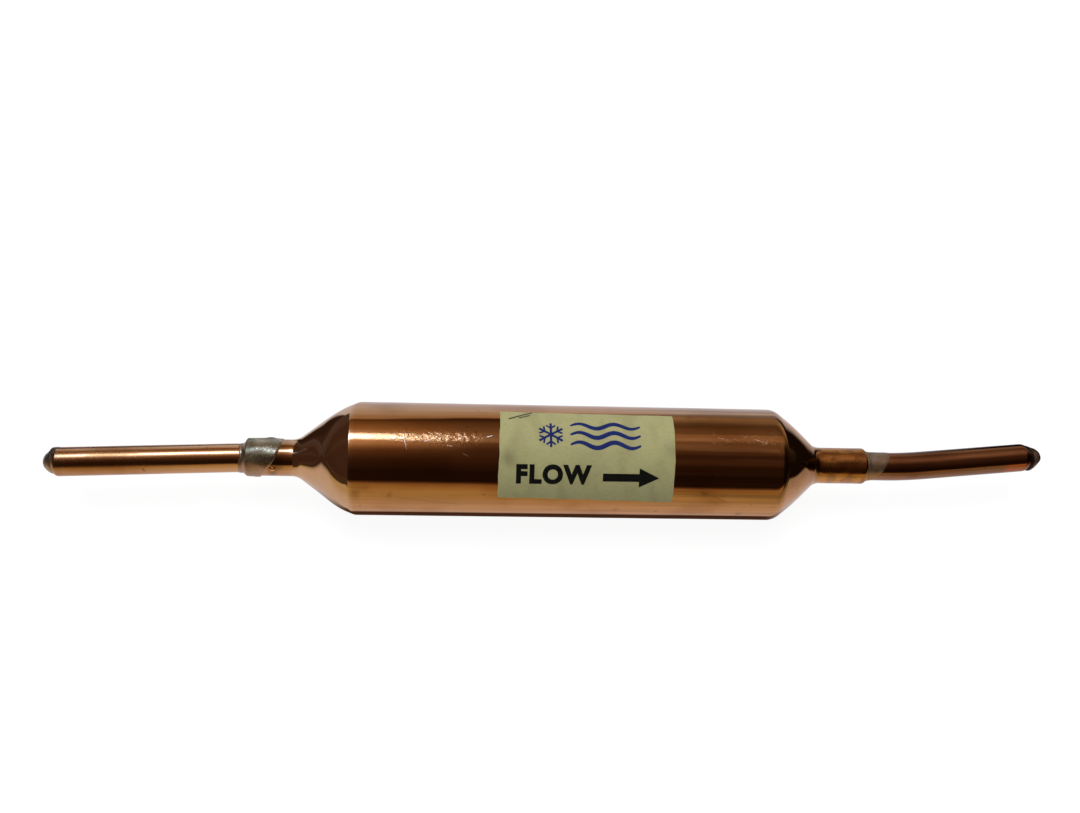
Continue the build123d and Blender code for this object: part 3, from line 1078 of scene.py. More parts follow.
@dataclass
class Seal:
    """A dome of solder over a tube's rim, with a skirt that laps back over the tube."""

    tube: TubeEnd
    height: float
    radius: float
    point: float
    near_shift: float
    lap: float
    lap_side: float
    fill: float
    facet: Facet
    # The painted reflection of the copper: its side in degrees, and where it starts and ends in mm from the
    # rim.
    reflection_side: float
    reflection_from: float
    reflection_to: float
    seed: int
    finish: SolderFinish
    rows: int = 40
    columns: int = 72

    def build(self, name: str, node: str) -> bpy.types.Object:
        """Rounds the dome up from its skirt and cuts its flat.

        Beyond the rim the half profile is a round nose: distance = height * sin(a), radius =
        r * cos(a) to the power of point. It carries small lumps and sits near_shift mm
        towards the near side.

        Args:
            name: Name of the piece.
            node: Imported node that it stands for.

        Returns:
            The dome.
        """
        turn = turns(self.columns)[None, :]
        tube = self.tube
        run_skirt, r_skirt = self.skirt(turn)
        rise = np.linspace(0.0, np.pi / 2, self.rows)[1:-1, None]
        run_dome = tube.length + self.height * np.sin(rise) + 0.0 * turn
        blend = smooth_step(np.sin(rise), 0.0, 0.5)
        r_dome = (r_skirt[-1:, :] * (1 - blend) + self.radius * blend) * np.cos(rise) ** self.point
        run = np.concatenate((run_skirt, run_dome))
        radius = np.concatenate((r_skirt, r_dome))
        above = smooth_step(run, tube.length, tube.length + 1.0)
        radius = radius + 0.03 * lumps(run, turn + 0.0 * run, self.seed, 4.0, 8) * above
        centre, heading = tube.route(run)
        centre = centre.copy()
        centre[..., 1] -= self.near_shift * smooth_step(run, tube.length - 0.2, tube.length + 1.2)
        grid = self.facet.cut(around(centre, radius, turn, heading), tube)
        # Painted reflection of the copper on one side of the dome.
        masks = {"warmth_and_reflection": self.warmth_and_reflection(run, turn)}
        piece = loops_to_piece(name, grid, Close.CAPPED, masks, crease=30.0)
        dress(piece, self.finish, node)
        return piece

    def skirt(self, turn: np.ndarray) -> tuple[np.ndarray, np.ndarray]:
        """The part that laps back over the tube, and fills its rolled-in rim on the other side.

        It starts lap mm before the rim on its longer side.

        Args:
            turn: Angles round the tube, in radians.

        Returns:
            Distances from the tube's inner end and radii, both in mm.
        """
        toward = np.cos(turn - radians(self.lap_side))
        longer = (0.5 + 0.5 * toward) ** 8
        back = 0.10 + self.lap * longer
        share = np.linspace(1.0, 0.0, 12)[:, None]
        run = self.tube.length - back * share
        lapped = min(1.0, self.lap) * longer
        filled = np.clip(self.fill * (0.5 - 0.5 * toward) ** 3 + lapped, 0.0, 1.0)
        wall = self.tube.outer - self.tube.rolled(run) * (1.0 - 0.9 * filled)
        return run, wall + 0.04 * (1.0 - share**6) - 0.06 * share**6

    def warmth_and_reflection(self, run: np.ndarray, turn: np.ndarray) -> np.ndarray:
        """Where the solder mirrors copper: a patch of painted reflection on one side, between two given
        distances from the rim.

        Args:
            run: Distances from the tube's inner end, in mm.
            turn: Angles round the tube, in radians.

        Returns:
            0 for plain solder to 0.85.
        """
        start, end = self.tube.length + self.reflection_from, self.tube.length + self.reflection_to
        warm_and_reflected = smooth_step(np.cos(turn - radians(self.reflection_side)), 0.35, 0.95)
        warm_and_reflected = warm_and_reflected * smooth_step(run, start - 0.5, start)
        return 0.85 * warm_and_reflected * smooth_step(-run, -end, -end + 0.7)


# ---------------------------------------------------------------- solder at the joints


def lay_solder(
    name: str, outer: np.ndarray, inner: np.ndarray, warmth_and_reflection: np.ndarray, finish: SolderFinish, node: str
) -> bpy.types.Object:
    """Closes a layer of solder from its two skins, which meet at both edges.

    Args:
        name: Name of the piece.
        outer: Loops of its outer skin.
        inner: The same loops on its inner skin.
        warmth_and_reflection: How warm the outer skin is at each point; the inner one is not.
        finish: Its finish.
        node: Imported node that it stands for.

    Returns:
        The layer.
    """
    grid = np.concatenate((outer, inner[::-1]))
    masks = {"warmth_and_reflection": np.concatenate((warmth_and_reflection, 0.0 * warmth_and_reflection))}
    piece = loops_to_piece(name, grid, Close.JOINED, masks)
    dress(piece, finish, node)
    return piece


@dataclass(frozen=True)
class EdgeLine:
    """Where solder ends round a joint.

    place = mean + tilt * cos(a - 155) + bow * cos(2 (a - 65)) + a little unevenness.
    """

    mean: float
    tilt: float
    bow: float
    uneven: float
    seed: int

    def at(self, turn: np.ndarray) -> np.ndarray:
        """Place along x at each angle."""
        tilted = self.mean + self.tilt * np.cos(turn - radians(155))
        steady = tilted + self.bow * np.cos(2 * (turn - radians(65)))
        return steady + self.uneven * lumps(0.0 * turn, turn, self.seed, 1.0)


@dataclass
class InletSolder:
    """Thick grey solder over the inlet neck, with a thin lip on the tube and a small bright drop."""

    shell: Shell
    tube: TubeEnd
    edge: EdgeLine
    lip: EdgeLine
    mouth_x: float = -68.3
    neck: float = 4.05
    lump: Spot = Spot(-63.2, 152.0, 1.1, 0.26)
    low_lump: Spot = Spot(-66.4, 95.0, 1.6, 0.12)
    rows: int = 120
    columns: int = 128

    def build(self) -> bpy.types.Object:
        """Lays the solder over the tube, the mouth and the neck.

        base = tube radius before the mouth and neck radius after it, with a smooth rise. The
        thickness is a mean plus lumps and two larger rises. It falls to nothing at both edges as the
        square root of the distance to them.

        Returns:
            The bead.
        """
        turn = turns(self.columns)[None, :]
        t = np.linspace(0.0, 1.0, self.rows)[:, None]
        lip, edge = self.lip.at(turn), self.edge.at(turn)
        x = lip + t * (edge - lip)
        angle = turn + 0.0 * x
        rise = smooth_step(x, self.mouth_x - 1.0, self.mouth_x + 0.15)
        base = self.tube.outer + (self.neck - self.tube.outer) * rise
        thick = 0.10 + rise * (0.10 + 0.07 * lumps(x, angle, 41, 5.0, 8) + 0.012 * lumps(x, angle, 42, 1.5))
        thick = thick + self.lump.over(x, angle, self.neck)
        thick = thick + self.low_lump.over(x, angle, self.neck)
        taper = np.minimum(1.0, (edge - x) / 0.55) * np.minimum(1.0, (x - lip) / 0.4)
        thick = np.clip(thick, 0.05, None) * np.sqrt(np.clip(taper, 0.0, 1.0))
        neck_centre = self.shell.centre(x)
        tube_centre = self.tube.route(self.tube.inner_x - x)[0]
        centre = neck_centre * rise[..., None] + tube_centre * (1.0 - rise[..., None])
        outer = around(centre, base + thick, angle)
        inner = around(centre, base - 0.12 * np.ones_like(x), angle)
        # Painted reflection of the table on the low near side, warm copper tone at the tube's lip, and
        # uneven warmth.
        low_side = smooth_step(np.cos(angle - radians(5)), 0.45, 0.95)
        mouth = smooth_step(-x, -self.mouth_x + 0.2, -self.mouth_x + 1.0)
        uneven = smooth_step(lumps(x, angle, 44, 2.0), -0.6, 0.7)
        warmth_and_reflection = np.maximum(0.85 * low_side, 0.85 * mouth * (0.4 + 0.6 * uneven)) + 0.15 * uneven
        warmth_and_reflection = np.clip(warmth_and_reflection, 0.0, 1.0)
        return lay_solder("inlet_joint_solder", outer, inner, warmth_and_reflection, JOINT_SOLDER, "inlet_solder")

    def build_drop(self, x: float = -62.51, place: float = 27.3) -> bpy.types.Object:
        """A small raised drop with a dark ring of painted shade round its foot.

        height = crown * sqrt(1 - q squared) inside the drop's oval and a thin skirt outside it,
        where q is the distance from its middle over the half width.

        Args:
            x: Middle along the axis.
            place: Middle round it, in degrees.

        Returns:
            The drop.
        """
        spin = turns(48)[None, :]
        q = np.concatenate((np.linspace(0.06, 1.0, 14), np.linspace(1.06, 1.5, 6)))[:, None]
        height = 0.34 * np.sqrt(np.clip(1.0 - q**2, 0.0, 1.0)) + 0.05 * smooth_step(-q, -1.5, -1.0)
        height = height - 0.03 * (q > 1.45)
        along = x + 0.58 * q * np.cos(spin)
        angle = radians(place) + 0.46 * q * np.sin(spin) / self.neck
        top = around(self.shell.centre(along), self.neck + height + 0.0 * spin, angle)
        below = around(self.shell.centre(along), self.neck - 0.1 + 0.0 * angle, angle)[::-1]
        # Painted shade: dark round the foot and on the underside, given through the scorch mask.
        dark = np.concatenate((0.8 * smooth_step(q, 0.98, 1.10), np.ones_like(q))) + 0.0 * spin
        piece = loops_to_piece("copper_drop", np.concatenate((top, below)), Close.CAPPED, {"scorch_and_shade": dark})
        dress(piece, DROP_COPPER, "inlet_solder_drop")
        return piece


@dataclass
class OutletSolder:
    """A thin film of solder on the outlet tube, with a fillet up to the neck's mouth."""

    tube: TubeEnd
    edge: EdgeLine
    start_x: float = 69.6
    mouth_x: float = 70.2
    rows: int = 64
    columns: int = 112

    def build(self) -> bpy.types.Object:
        """Lays the film: tube radius + film + fillet * e to the power of -(distance from the mouth / 0.45).

        The fillet also shrinks evenly to nothing at the film's far edge.

        Returns:
            The film.
        """
        turn = turns(self.columns)[None, :]
        t = np.linspace(0.0, 1.0, self.rows)[:, None]
        edge = self.edge.at(turn)
        x = self.start_x + t * (edge - self.start_x)
        angle = turn + 0.0 * x
        thick = 0.07 + 0.02 * lumps(x, angle, 61, 1.8)
        thick = thick * np.sqrt(np.clip((edge - x) / 0.5, 0.0, 1.0))
        thick = thick + 0.3 * np.exp(-np.clip(x - self.mouth_x, 0.0, None) / 0.45) * (1.0 - t)
        centre = self.tube.route(x - self.tube.inner_x)[0]
        outer = around(centre, self.tube.outer + thick, angle)
        inner = around(centre, self.tube.outer - 0.15 + 0.0 * x, angle)
        # Warmer on the near side and in uneven patches.
        low_side = smooth_step(np.cos(angle), 0.62, 0.92)
        warmth_and_reflection = np.maximum(0.95 * low_side, 0.35 * smooth_step(lumps(x, angle, 63, 2.4), -0.2, 1.0))
        return lay_solder("outlet_joint_solder", outer, inner, warmth_and_reflection, FILM_SOLDER, "outlet_solder")


# ---------------------------------------------------------------- label and print


@dataclass
class Label:
    """The paper label, wrapped round the barrel, and its print."""

    left: tuple[float, float] = (-13.88, -13.41)
    right: tuple[float, float] = (23.99, 24.32)
    low: tuple[float, float] = (26.3, 22.7)
    high: tuple[float, float] = (122.0, 119.4)
    length: float = 37.7
    width: float = 21.0
    radius: float = BARREL_RADIUS
    thickness: float = 0.09
    ink: float = 0.02
    smudges: tuple[Spot, ...] = (
        Spot(-12.0, 67.0, 1.5, 0.5),
        Spot(23.3, 78.0, 1.8, 0.4),
        Spot(6.0, 68.0, 4.5, 0.2),
    )
    tears: tuple[Scratch, ...] = (
        Scratch(-11.6, 110.5, -6.4, 121.0, 0.17, 1.5),
        Scratch(-9.4, 112.0, -6.9, 116.5, 0.17, 1.1),
    )

    def build(self) -> bpy.types.Object:
        """Bends the sheet round the barrel.

        Each edge runs straight between its two corners. radius = barrel + thickness + a small
        lift at each corner, which fades as e to the power of minus (distance / 2.2 mm) squared.

        Returns:
            The paper.
        """
        u = np.linspace(0.0, 1.0, 260)[:, None]
        v = np.linspace(0.0, 1.0, 170)[None, :]
        left = self.left[0] + v * (self.left[1] - self.left[0])
        right = self.right[0] + v * (self.right[1] - self.right[0])
        low = self.low[0] + u * (self.low[1] - self.low[0])
        high = self.high[0] + u * (self.high[1] - self.high[0])
        edge_wave = 0.05 * np.sin(v * 17.0) + 0.03 * np.sin(v * 41.0 + 1.0)
        x = left + edge_wave * (1 - u) + u * (right - left + 0.6 * edge_wave)
        angle = np.radians(low + v * (high - low) + 0.25 * np.sin(u * 23.0) * (2 * v - 1))
        lift = 0.0 * x
        for corner_u, corner_v, size in ((0, 0, 0.05), (0, 1, 0.07), (1, 0, 0.06), (1, 1, 0.04)):
            away = ((u - corner_u) * self.length) ** 2 + ((v - corner_v) * self.width) ** 2
            lift = lift + size * np.exp(-away / 2.2**2)
        masks = {"wear": self.wear(x, angle), "tear_and_shade": self.tear_and_shade(x, angle)}
        centre = np.stack(np.broadcast_arrays(x, 0.0, AXIS_HEIGHT), axis=-1)
        top = around(centre, self.radius + self.thickness + lift, angle)
        bottom = around(centre, self.radius - 0.01 + lift * 0.9, angle)
        piece = sheet_to_piece("paper_label", top, bottom, masks)
        dress(piece, LABEL_PAPER, "label")
        return piece

    def tear_and_shade(self, x: np.ndarray, angle: np.ndarray) -> np.ndarray:
        """Two thin slanting marks near one corner, where the paper has been torn: the tear and the painted
        shade of its edge.

        Each is e to the power of minus (distance to its line / its width) squared between its
        two ends.

        Args:
            x: Places along the axis, in mm.
            angle: Angles round it, in radians.

        Returns:
            0 for whole paper to 1.
        """
        arc = angle * self.radius
        most = 0.0 * x
        for line in self.tears:
            start = np.array([line.x, radians(line.angle) * self.radius])
            way = np.array([line.to_x, radians(line.to_angle) * self.radius]) - start
            length = float(np.linalg.norm(way))
            way = way / length
            along = (x - start[0]) * way[0] + (arc - start[1]) * way[1]
            off = (x - start[0]) * way[1] - (arc - start[1]) * way[0]
            inside = (along > 0) & (along < length)
            most = np.maximum(most, line.strength * inside * np.exp(-((off / line.width) ** 2)))
        return np.clip(most, 0.0, 1.0)

    def wear(self, x: np.ndarray, angle: np.ndarray) -> np.ndarray:
        """Soft smudges and grime.

        Args:
            x: Places along the axis, in mm.
            angle: Angles round it, in radians.

        Returns:
            0 for clean paper to 1.
        """
        smudged = sum(spot.over(x, angle, self.radius + 0.1) for spot in self.smudges)
        grime = 0.22 * smooth_step(lumps(x, angle, 71, 4.0), 0.1, 1.2)
        return np.clip(smudged + grime, 0.0, 1.0)

    def wrapped(self, x: np.ndarray, arc: np.ndarray, lift: float) -> np.ndarray:
        """Lays flat places on the label: arc is the length round the barrel up from angle 0, in mm."""
        level = self.radius + self.thickness + lift
        centre = np.stack(np.broadcast_arrays(x, 0.0, AXIS_HEIGHT), axis=-1)
        return around(centre, level * np.ones_like(x), arc / self.radius)

    def stroke(self, name: str, line: np.ndarray, half: np.ndarray, finish: Finish) -> bpy.types.Object:
        """A printed stroke of varying width.

        Points lie across the line, at right angles to it, from -half to +half its width.

        Args:
            name: Name of the piece.
            line: Middle of the stroke: x and arc, in mm, one row each.
            half: Half its width at each point.
            finish: Its ink.

        Returns:
            The stroke.
        """
        way = np.gradient(line, axis=0)
        way = way / np.linalg.norm(way, axis=1, keepdims=True)
        across = np.column_stack((-way[:, 1], way[:, 0]))
        place = np.linspace(-1.0, 1.0, 9)[None, :]
        x = line[:, :1] + across[:, :1] * half[:, None] * place
        arc = line[:, 1:] + across[:, 1:] * half[:, None] * place
        piece = sheet_to_piece(name, self.wrapped(x, arc, self.ink), self.wrapped(x, arc, -0.01))
        dress(piece, finish)
        return piece

    def arrow(self) -> bpy.types.Object:
        """The flow arrow: one stroke whose width jumps at the head and runs down to its tip."""
        arc = radians(49.7) * self.radius
        shaft, head, tip = 8.6, 16.45, 20.7
        shaft_half, head_half, tip_half = 0.86, 2.12, 0.03
        steps = 24
        x = np.concatenate((np.linspace(shaft, head - 0.01, steps), np.linspace(head, tip, steps)))
        half = np.concatenate((np.full(steps, shaft_half), np.linspace(head_half, tip_half, steps)))
        line = np.column_stack((x, np.full(2 * steps, arc)))
        return self.stroke("flow_arrow", line, half, BLACK_INK)

    def waves(self) -> None:
        """Three stacked air waves: arc = middle + 0.62 mm * sin, thicker in the middle of each."""
        left, length, swing = 1.6, 15.2, 0.62
        t = np.linspace(0.0, 1.0, 150)
        x = left + length * t
        for number, angle in enumerate((81.5, 92.0, 102.5)):
            arc = radians(angle) * self.radius + swing * np.sin(t * 4 * np.pi)
            half = 0.16 + 0.36 * np.abs(np.sin(t * np.pi)) ** 0.5
            self.stroke(f"air_wave_{number}", np.column_stack((x, arc)), half, BLUE_INK)

    def snowflake(self, lean: float = 52.0) -> None:
        """Three bars across one another, each with two short barbs near both ends.

        Args:
            lean: Angle between a barb and its bar, in degrees.
        """
        middle = np.array([-2.6, radians(92.0) * self.radius])
        reach, bar_half = 2.9, 0.26
        barb_start, barb_length, barb_half = 1.55, 1.25, 0.2
        for number in range(3):
            turn = 90 + 60 * number
            way = np.array([cos(radians(turn)), sin(radians(turn))])
            t = np.linspace(-reach, reach, 40)[:, None]
            self.stroke(f"snow_bar_{number}", middle + t * way, np.full(40, bar_half), BLUE_INK)
            for end in (-1, 1):
                for hand in (-1, 1):
                    turned = radians(turn + hand * lean)
                    barb = end * np.array([cos(turned), sin(turned)])
                    u = np.linspace(0.0, barb_length, 12)[:, None]
                    line = middle + end * barb_start * way + u * barb
                    name = f"snow_barb_{number}_{'a' if end < 0 else 'b'}{'a' if hand < 0 else 'b'}"
                    self.stroke(name, line, np.full(12, barb_half), BLUE_INK)

    def letters(self, text: str) -> bpy.types.Mesh:
        """Bold letters, one unit thick.

        They are cut by even planes across their height, so that they can follow the barrel.

        Args:
            text: The word.

        Returns:
            A flat mesh of the word.
        """
        curve = bpy.data.curves.new("word", "FONT")
        curve.body = text
        curve.size = 6.0
        curve.offset = 0.32
        curve.space_character = 1.16
        source = bpy.data.objects.new("word", curve)
        bpy.context.scene.collection.objects.link(source)
        flat = bpy.data.meshes.new_from_object(source.evaluated_get(bpy.context.evaluated_depsgraph_get()))
        bpy.data.objects.remove(source)
        shape = bmesh.new()
        shape.from_mesh(flat)
        bmesh.ops.remove_doubles(shape, verts=shape.verts, dist=1e-4)
        for level in np.linspace(0.0, 4.6, 17)[1:-1]:
            whole = shape.verts[:] + shape.edges[:] + shape.faces[:]
            bmesh.ops.bisect_plane(shape, geom=whole, plane_co=(0, level, 0), plane_no=(0, 1, 0))
        raised = bmesh.ops.extrude_face_region(shape, geom=shape.faces[:])
        upper = [part for part in raised["geom"] if isinstance(part, bmesh.types.BMVert)]
        bmesh.ops.translate(shape, verts=upper, vec=(0, 0, 1))
        bmesh.ops.recalc_face_normals(shape, faces=shape.faces)
        mesh = bpy.data.meshes.new("flow_word")
        shape.to_mesh(mesh)
        shape.free()
        return mesh

    def word(
        self, text: str = "FLOW", left: float = -10.0, right: float = 6.2, height: float = 4.35
    ) -> bpy.types.Object:
        """The bold word before the arrow, wrapped round the label.

        Args:
            text: The word.
            left: Where it starts along x, in mm.
            right: Where it ends.
            height: Length of its letters round the barrel, in mm.

        Returns:
            The word.
        """
        mesh = self.letters(text)
        places = np.empty(len(mesh.vertices) * 3)
        mesh.vertices.foreach_get("co", places)
        places = places.reshape(-1, 3)
        low, high = places.min(axis=0), places.max(axis=0)
        x = left + (places[:, 0] - low[0]) / (high[0] - low[0]) * (right - left)
        base = radians(42.0) * self.radius
        arc = base + (places[:, 1] - low[1]) / (high[1] - low[1]) * height
        upper_side = places[:, 2] > 0.5
        top, bottom = self.wrapped(x, arc, self.ink), self.wrapped(x, arc, -0.01)
        mesh.vertices.foreach_set("co", (np.where(upper_side[:, None], top, bottom) * MM).ravel())
        mesh.update()
        piece = link(mesh)
        dress(piece, BLACK_INK)
        return piece

    def print_all(self) -> None:
        """Prints everything on the label."""
        self.arrow()
        self.waves()
        self.snowflake()
        self.word()


# ---------------------------------------------------------------- whole drier and stage


@dataclass
class FilterDrier:
    """Every visible piece of the drier, and the finishes of the pieces inside it."""

    shell: Shell
    inlet: TubeEnd
    outlet: TubeEnd
    label: Label

    def build(self) -> None:
        """Makes the pieces, outside first."""
        self.shell.build()
        self.inlet.build("inlet_copper_tube", TUBE_COPPER, "inlet_tube")
        self.outlet.build("outlet_copper_tube", DARK_COPPER, "outlet_tube")
        bead = InletSolder(
            self.shell,
            self.inlet,
            edge=EdgeLine(-62.38, 2.4, 0.6, 0.10, 81),
            lip=EdgeLine(-69.9, 0.1, 0.1, 0.15, 82),
        )
        bead.build()
        bead.build_drop()
        OutletSolder(self.outlet, EdgeLine(73.7, 2.06, 0.35, 0.08, 83)).build()
        Seal(
            tube=self.inlet,
            height=2.25,
            radius=2.45,
            point=1.15,
            near_shift=0.0,
            lap=1.7,
            lap_side=150.0,
            fill=0.0,
            facet=Facet(0.75, -0.62, -0.2, 2.15),
            reflection_side=15.0,
            reflection_from=-1.0,
            reflection_to=1.7,
            seed=91,
            finish=INLET_SEAL_SOLDER,
        ).build("inlet_solder_dome", "inlet_seal")
        Seal(
            tube=self.outlet,
            height=3.1,
            radius=2.6,
            point=0.85,
            near_shift=0.30,
            lap=0.1,
            lap_side=140.0,
            fill=1.0,
            facet=Facet(0.69, -0.67, -0.20, 2.5),
            reflection_side=48.0,
            reflection_from=0.9,
            reflection_to=2.2,
            seed=95,
            finish=OUTLET_SEAL_SOLDER,
        ).build("outlet_solder_dome", "outlet_seal")
        self.label.build()
        self.label.print_all()
        self.finish_inside()

    def finish_inside(self) -> None:
        """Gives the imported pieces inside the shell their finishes."""
        inside = {
            "inlet_ring": RING_STEEL,
            "outlet_ring": RING_STEEL,
            "inlet_gauze": GAUZE_WIRE,
            "outlet_gauze": GAUZE_WIRE,
            "desiccant": BEADS,
        }
        for node, finish in inside.items():
            coat(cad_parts[node].data, finish)
            log.info("%s: finished as %s", node, finish.name)


# ---------------------------------------------------------------- stage

FAR_LEFT: Colour = (0.062, 0.038, 0.032)
ROOM_BANDS: tuple[tuple[float, Colour], ...] = (
    (0.0, (0.60, 0.50, 0.28)),
    (7.0, (0.55, 0.44, 0.22)),
    (14.0, (0.43, 0.31, 0.18)),
    (17.0, (0.13, 0.080, 0.045)),
    (20.5, (0.022, 0.014, 0.010)),
    (42.0, (0.022, 0.013, 0.010)),
    (62.0, (0.055, 0.032, 0.022)),
    (74.0, (0.080, 0.050, 0.042)),
    (86.0, (0.10, 0.065, 0.052)),
    (100.0, (0.22, 0.15, 0.11)),
    (112.0, (0.34, 0.29, 0.28)),
    (122.0, (0.25, 0.19, 0.15)),
    (145.0, (0.13, 0.085, 0.055)),
    (152.0, (0.060, 0.037, 0.025)),
    (155.5, (0.090, 0.060, 0.040)),
    (159.0, (0.52, 0.46, 0.42)),
    (168.0, (0.60, 0.62, 0.68)),
    (180.0, (0.74, 0.88, 1.25)),
)


class Room:
    """The room as the copper mirrors it.

    Its shade depends on the height angle across the shell, atan2(z, -y), which runs from 0 at
    the near horizon through 90 overhead to 180 at the far one, and on how far sideways the ray
    goes, from -1 to 1. It is dark on the near side and lighter beyond the top, with a strip lamp
    over the left part, a soft pale part on the right and dark ends.
    """

    def __init__(self) -> None:
        """Starts an empty world and the measures that its shades depend on."""
        self.world = bpy.data.worlds.new("studio")
        self.g = Graph(self.world)
        direction = self.g.add("ShaderNodeTexCoord").outputs["Generated"]
        self.sideways, away, self.up = self.g.parts(direction)
        self.height = self.g.math("ARCTAN2", self.up, self.g.times(away, -1.0))

    def rise(
        self, angle: Socket, low: float, high: float, to_low: float = 0.0, to_high: float = 1.0
    ) -> Socket:
        """Spreads low..high, in degrees, over to_low..to_high."""
        return self.g.spread(angle, radians(low), radians(high), to_low, to_high)

    def window(self, angle: Socket, start: float, full: float, still: float, end: float) -> Socket:
        """1 from full to still, fading to 0 at start and end, all in degrees."""
        return self.g.times(self.rise(angle, start, full), self.rise(angle, end, still))

    def banded(self) -> Socket:
        """The bands of shade, which lean a little with the sideways part."""
        g = self.g
        lower = g.times(
            self.rise(self.height, 110, 60), g.spread(self.sideways, 0.0, 0.24, 0.0, radians(4.5))
        )
        upper = g.times(
            self.rise(self.height, 60, 110),
            g.spread(self.sideways, -0.09, 0.03, radians(6.5), radians(-3.0)),
        )
        leaned = g.plus(self.height, g.plus(lower, upper))
        ramp = g.add("ShaderNodeValToRGB", {0: g.math("DIVIDE", leaned, pi)})
        elements = ramp.color_ramp.elements
        for number, (place, colour) in enumerate(ROOM_BANDS):
            element = elements[number] if number < 2 else elements.new(place / 180.0)
            element.position = place / 180.0
            element.color = (*colour, 1.0)
        return ramp.outputs[0]

    def lit(self, mirrored: Socket) -> Socket:
        """Adds the strip lamp, which leans with the sideways part, and the soft glow round it."""
        g = self.g
        leaning = g.math("MAXIMUM", g.plus(self.sideways, 0.07), 0.0)
        lean = g.plus(self.height, g.times(leaning, radians(44)))
        core = self.window(lean, 101.5, 108.5, 111.0, 118.5)
        reach = g.spread(self.sideways, -0.48, -0.38)
        soft = g.times(reach, g.spread(self.sideways, 0.03, -0.07))
        broad = self.window(lean, 92, 106, 112, 128)
        for share, colour in (
            (g.times(core, reach, g.spread(self.sideways, -0.015, -0.06)), (4.0, 6.8, 12.5)),
            (g.times(soft, self.window(lean, 80, 108, 110, 132)), (0.50, 0.52, 0.58)),
            (g.times(soft, self.window(lean, 60, 112, 125, 165)), (0.24, 0.16, 0.08)),
            (g.times(core, g.spread(self.sideways, 0.5, 0.05)), (0.18, 0.19, 0.21)),
            (g.times(broad, reach, g.spread(self.sideways, -0.12, -0.18)), (1.1, 1.7, 2.7)),
        ):
            mirrored = g.mix(share, mirrored, colour, "ADD")
        return mirrored

    def ended(self, mirrored: Socket) -> Socket:
        """Adds the pale part on the right and darkens both ends."""
        g = self.g
        beside = g.spread(self.sideways, 0.07, 0.18)
        above = g.times(beside, self.rise(self.height, 138, 168, 0.0, 0.85))
        mirrored = g.mix(above, mirrored, (0.46, 0.41, 0.34))
        over = self.window(self.height, 88, 104, 136, 150)
        mirrored = g.mix(g.times(beside, over), mirrored, (0.12, 0.095, 0.075), "ADD")
        left_end = g.mix(g.spread(self.up, 0.0, 0.5), FAR_LEFT, (0.074, 0.046, 0.037))
        mirrored = g.mix(g.spread(self.sideways, -0.36, -0.52, 0.0, 0.95), mirrored, left_end)
        held = g.times(self.rise(self.height, 110, 140), -0.15)
        right_end = g.spread(g.plus(self.sideways, held), 0.60, 0.85, 0.0, 0.97)
        return g.mix(right_end, mirrored, (0.006, 0.004, 0.003))

    def build(self) -> None:
        """Shows the room to mirrored rays, white to the camera and a dim grey to the rest."""
        g = self.g
        mirrored = self.ended(self.lit(self.banded()))
        plain = g.mix(g.ray("Glossy"), (0.15, 0.15, 0.15), mirrored)
        shown = g.mix(g.ray("Camera", "Transmission"), plain, WHITE)
        back = g.add("ShaderNodeBackground", {"Color": shown, "Strength": 1.0})
        g.add("ShaderNodeOutputWorld", {"Surface": back.outputs[0]})
        bpy.context.scene.world = self.world


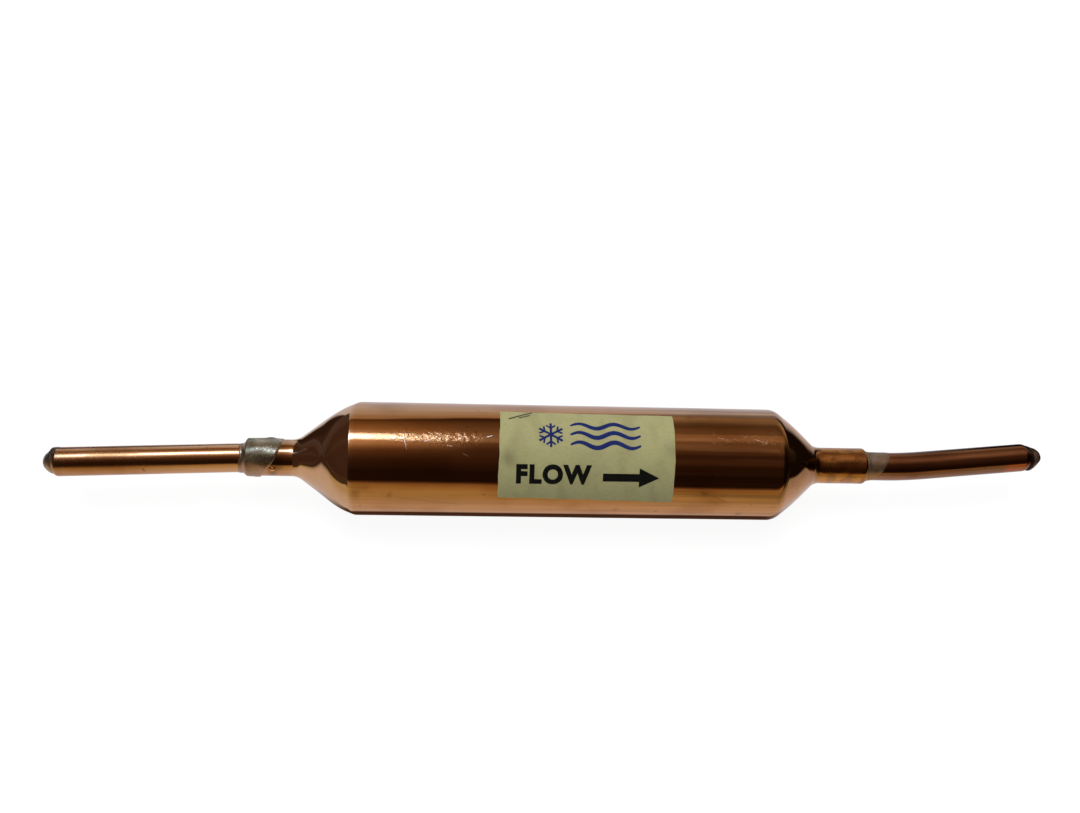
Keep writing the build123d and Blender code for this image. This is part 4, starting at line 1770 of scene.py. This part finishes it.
@dataclass
class Studio:
    """Plain pale floor, soft light, surroundings for the copper to mirror, and the camera."""

    floor_size: float = 8.0
    focal: float = 38.77
    sensor: float = 36.0
    distance: float = 260.0
    rise: float = 12.18
    yaw: float = 4.1
    roll: float = 1.10
    elevation: float = 65.0
    aim_x: float = -4.06

    def mirrored_floor(self, g: Graph) -> Socket:
        """The floor as the copper mirrors it.

        It is pale near the drier and bluer beyond it, with the drier's own shade below it, and
        dark at the left and at the right, where the edges of the dark run aslant.

        Args:
            g: Nodes of the floor's finish.

        Returns:
            Its colour at each place.
        """
        x, y, _ = g.parts(g.place)
        away, beside = g.math("ABSOLUTE", y), g.math("ABSOLUTE", x)
        tone = g.mix(g.spread(away, 0.018, 0.075), (0.80, 0.82, 0.90), (0.64, 0.60, 0.40))
        tone = g.mix(g.spread(y, 0.020, 0.070), tone, (0.74, 0.90, 1.20))
        tone = g.mix(g.spread(x, 0.055, 0.115, 0.0, 0.36), tone, BLACK)
        shade = g.times(g.spread(away, 0.0180, 0.0160), g.spread(beside, 0.062, 0.048))
        tone = g.mix(shade, tone, (0.085, 0.045, 0.028))
        past_left = g.math("SUBTRACT", g.times(x, -1.0), g.times(y, 0.6))
        left = g.times(g.spread(past_left, 0.040, 0.055), g.spread(y, 0.022, 0.036))
        skew = g.math("SUBTRACT", beside, g.times(away, 0.55))
        left = g.math("MAXIMUM", left, g.spread(skew, 0.10, 0.30))
        left_tone = g.mix(g.spread(beside, 0.06, 0.40), (0.038, 0.021, 0.016), FAR_LEFT)
        tone = g.mix(left, tone, left_tone)
        past_right = g.plus(x, g.spread(y, -0.010, 0.040, 0.0, 0.050))
        beyond = g.math("MAXIMUM", g.math("SUBTRACT", y, 0.040), 0.0)
        past_right = g.math("SUBTRACT", past_right, g.times(beyond, 0.35))
        right = g.times(g.spread(past_right, 0.132, 0.168), g.spread(y, -0.080, -0.050))
        return g.mix(right, tone, (0.012, 0.008, 0.006))

    def floor_finish(self) -> bpy.types.Material:
        """White to the camera with a soft shadow, and toned to mirrored rays.

        Returns:
            The material.
        """
        material = bpy.data.materials.new("floor white")
        g = Graph(material)
        seen = g.ray("Camera", "Transmission")
        share = g.plus(g.times(seen, 0.86), g.ray("Glossy"))
        colour = g.mix(seen, self.mirrored_floor(g), (1.09, 1.09, 1.09))
        plain = g.add("ShaderNodeBsdfDiffuse", {"Color": (0.86, 0.86, 0.86)})
        glow = g.add("ShaderNodeEmission", {"Color": colour, "Strength": 1.0})
        both = g.add("ShaderNodeMixShader", {0: share, 1: plain.outputs[0], 2: glow.outputs[0]})
        g.add("ShaderNodeOutputMaterial", {"Surface": both.outputs[0]})
        return material

    def floor(self) -> None:
        """A large pale floor that stays white and keeps the soft shadow."""
        half = self.floor_size / 2
        mesh = bpy.data.meshes.new("floor")
        corners = [(-half, -half, 0.0), (half, -half, 0.0), (half, half, 0.0), (-half, half, 0.0)]
        mesh.from_pydata(corners, [], [(0, 1, 2, 3)])
        piece = link(mesh)
        piece.location.z = FLOOR_GAP
        mesh.materials.append(self.floor_finish())

    def lamps(self) -> None:
        """One broad soft lamp overhead, kept out of the reflections."""
        data = bpy.data.lights.new("soft lamp", "AREA")
        data.shape = "DISK"
        data.size = 1.2
        data.energy = 17.5
        lamp = bpy.data.objects.new("soft lamp", data)
        lamp.location = (-0.15, 0.35, 1.3)
        lamp.rotation_euler = (radians(-15), radians(-6.5), 0.0)
        lamp.visible_glossy = False
        bpy.context.scene.collection.objects.link(lamp)

    def camera(self) -> None:
        """Stands the camera above the near side, a little turned and tipped.

        The camera's own axes are matched to the drier's: its image of +X, of the line of sight
        across the shell and of the direction at right angles to both.
        """
        yaw, roll, elevation = radians(self.yaw), radians(self.roll), radians(self.elevation)
        along = np.array([cos(yaw) * cos(roll), -cos(yaw) * sin(roll), -sin(yaw)])
        back = np.array([0.0, self.rise, self.distance])
        across = back - (back @ along) * along
        across = across / np.linalg.norm(across)
        seen = np.column_stack((along, across, np.cross(along, across)))
        toward = np.array([0.0, -cos(elevation), sin(elevation)])
        real = np.column_stack(((1.0, 0.0, 0.0), toward, np.cross((1.0, 0.0, 0.0), toward)))
        turn = real @ seen.T
        place = np.array([self.aim_x, 0.0, AXIS_HEIGHT]) + turn @ back
        data = bpy.data.cameras.new("camera")
        data.sensor_width = self.sensor
        data.lens = self.focal
        data.clip_start, data.clip_end = 0.01, 50.0
        camera = bpy.data.objects.new("camera", data)
        matrix = np.eye(4)
        matrix[:3, :3] = turn
        matrix[:3, 3] = place * MM
        camera.matrix_world = Matrix(matrix.tolist())
        bpy.context.scene.collection.objects.link(camera)
        bpy.context.scene.camera = camera

    def build(self) -> None:
        """Sets up the stage."""
        self.floor()
        self.lamps()
        Room().build()
        self.camera()
        bpy.context.scene.view_settings.view_transform = "Standard"
        log.info("stage ready")


def main() -> None:
    """Builds the drier and its stage."""
    logging.basicConfig(level=logging.INFO, format="%(name)s: %(message)s")
    drier = FilterDrier(
        shell=Shell(),
        inlet=TubeEnd(Way.INLET, -61.8, -71.0, -0.40, 2.4, -109.5, 30.0, roll_length=1.0, roll_depth=0.62),
        outlet=TubeEnd(Way.OUTLET, 63.7, 79.0, -0.05, 5.7, 108.85, 85.0, roll_length=1.6, end_stain=0.8),
        label=Label(),
    )
    drier.build()
    Studio().build()


if __name__ == "__main__":
    main()
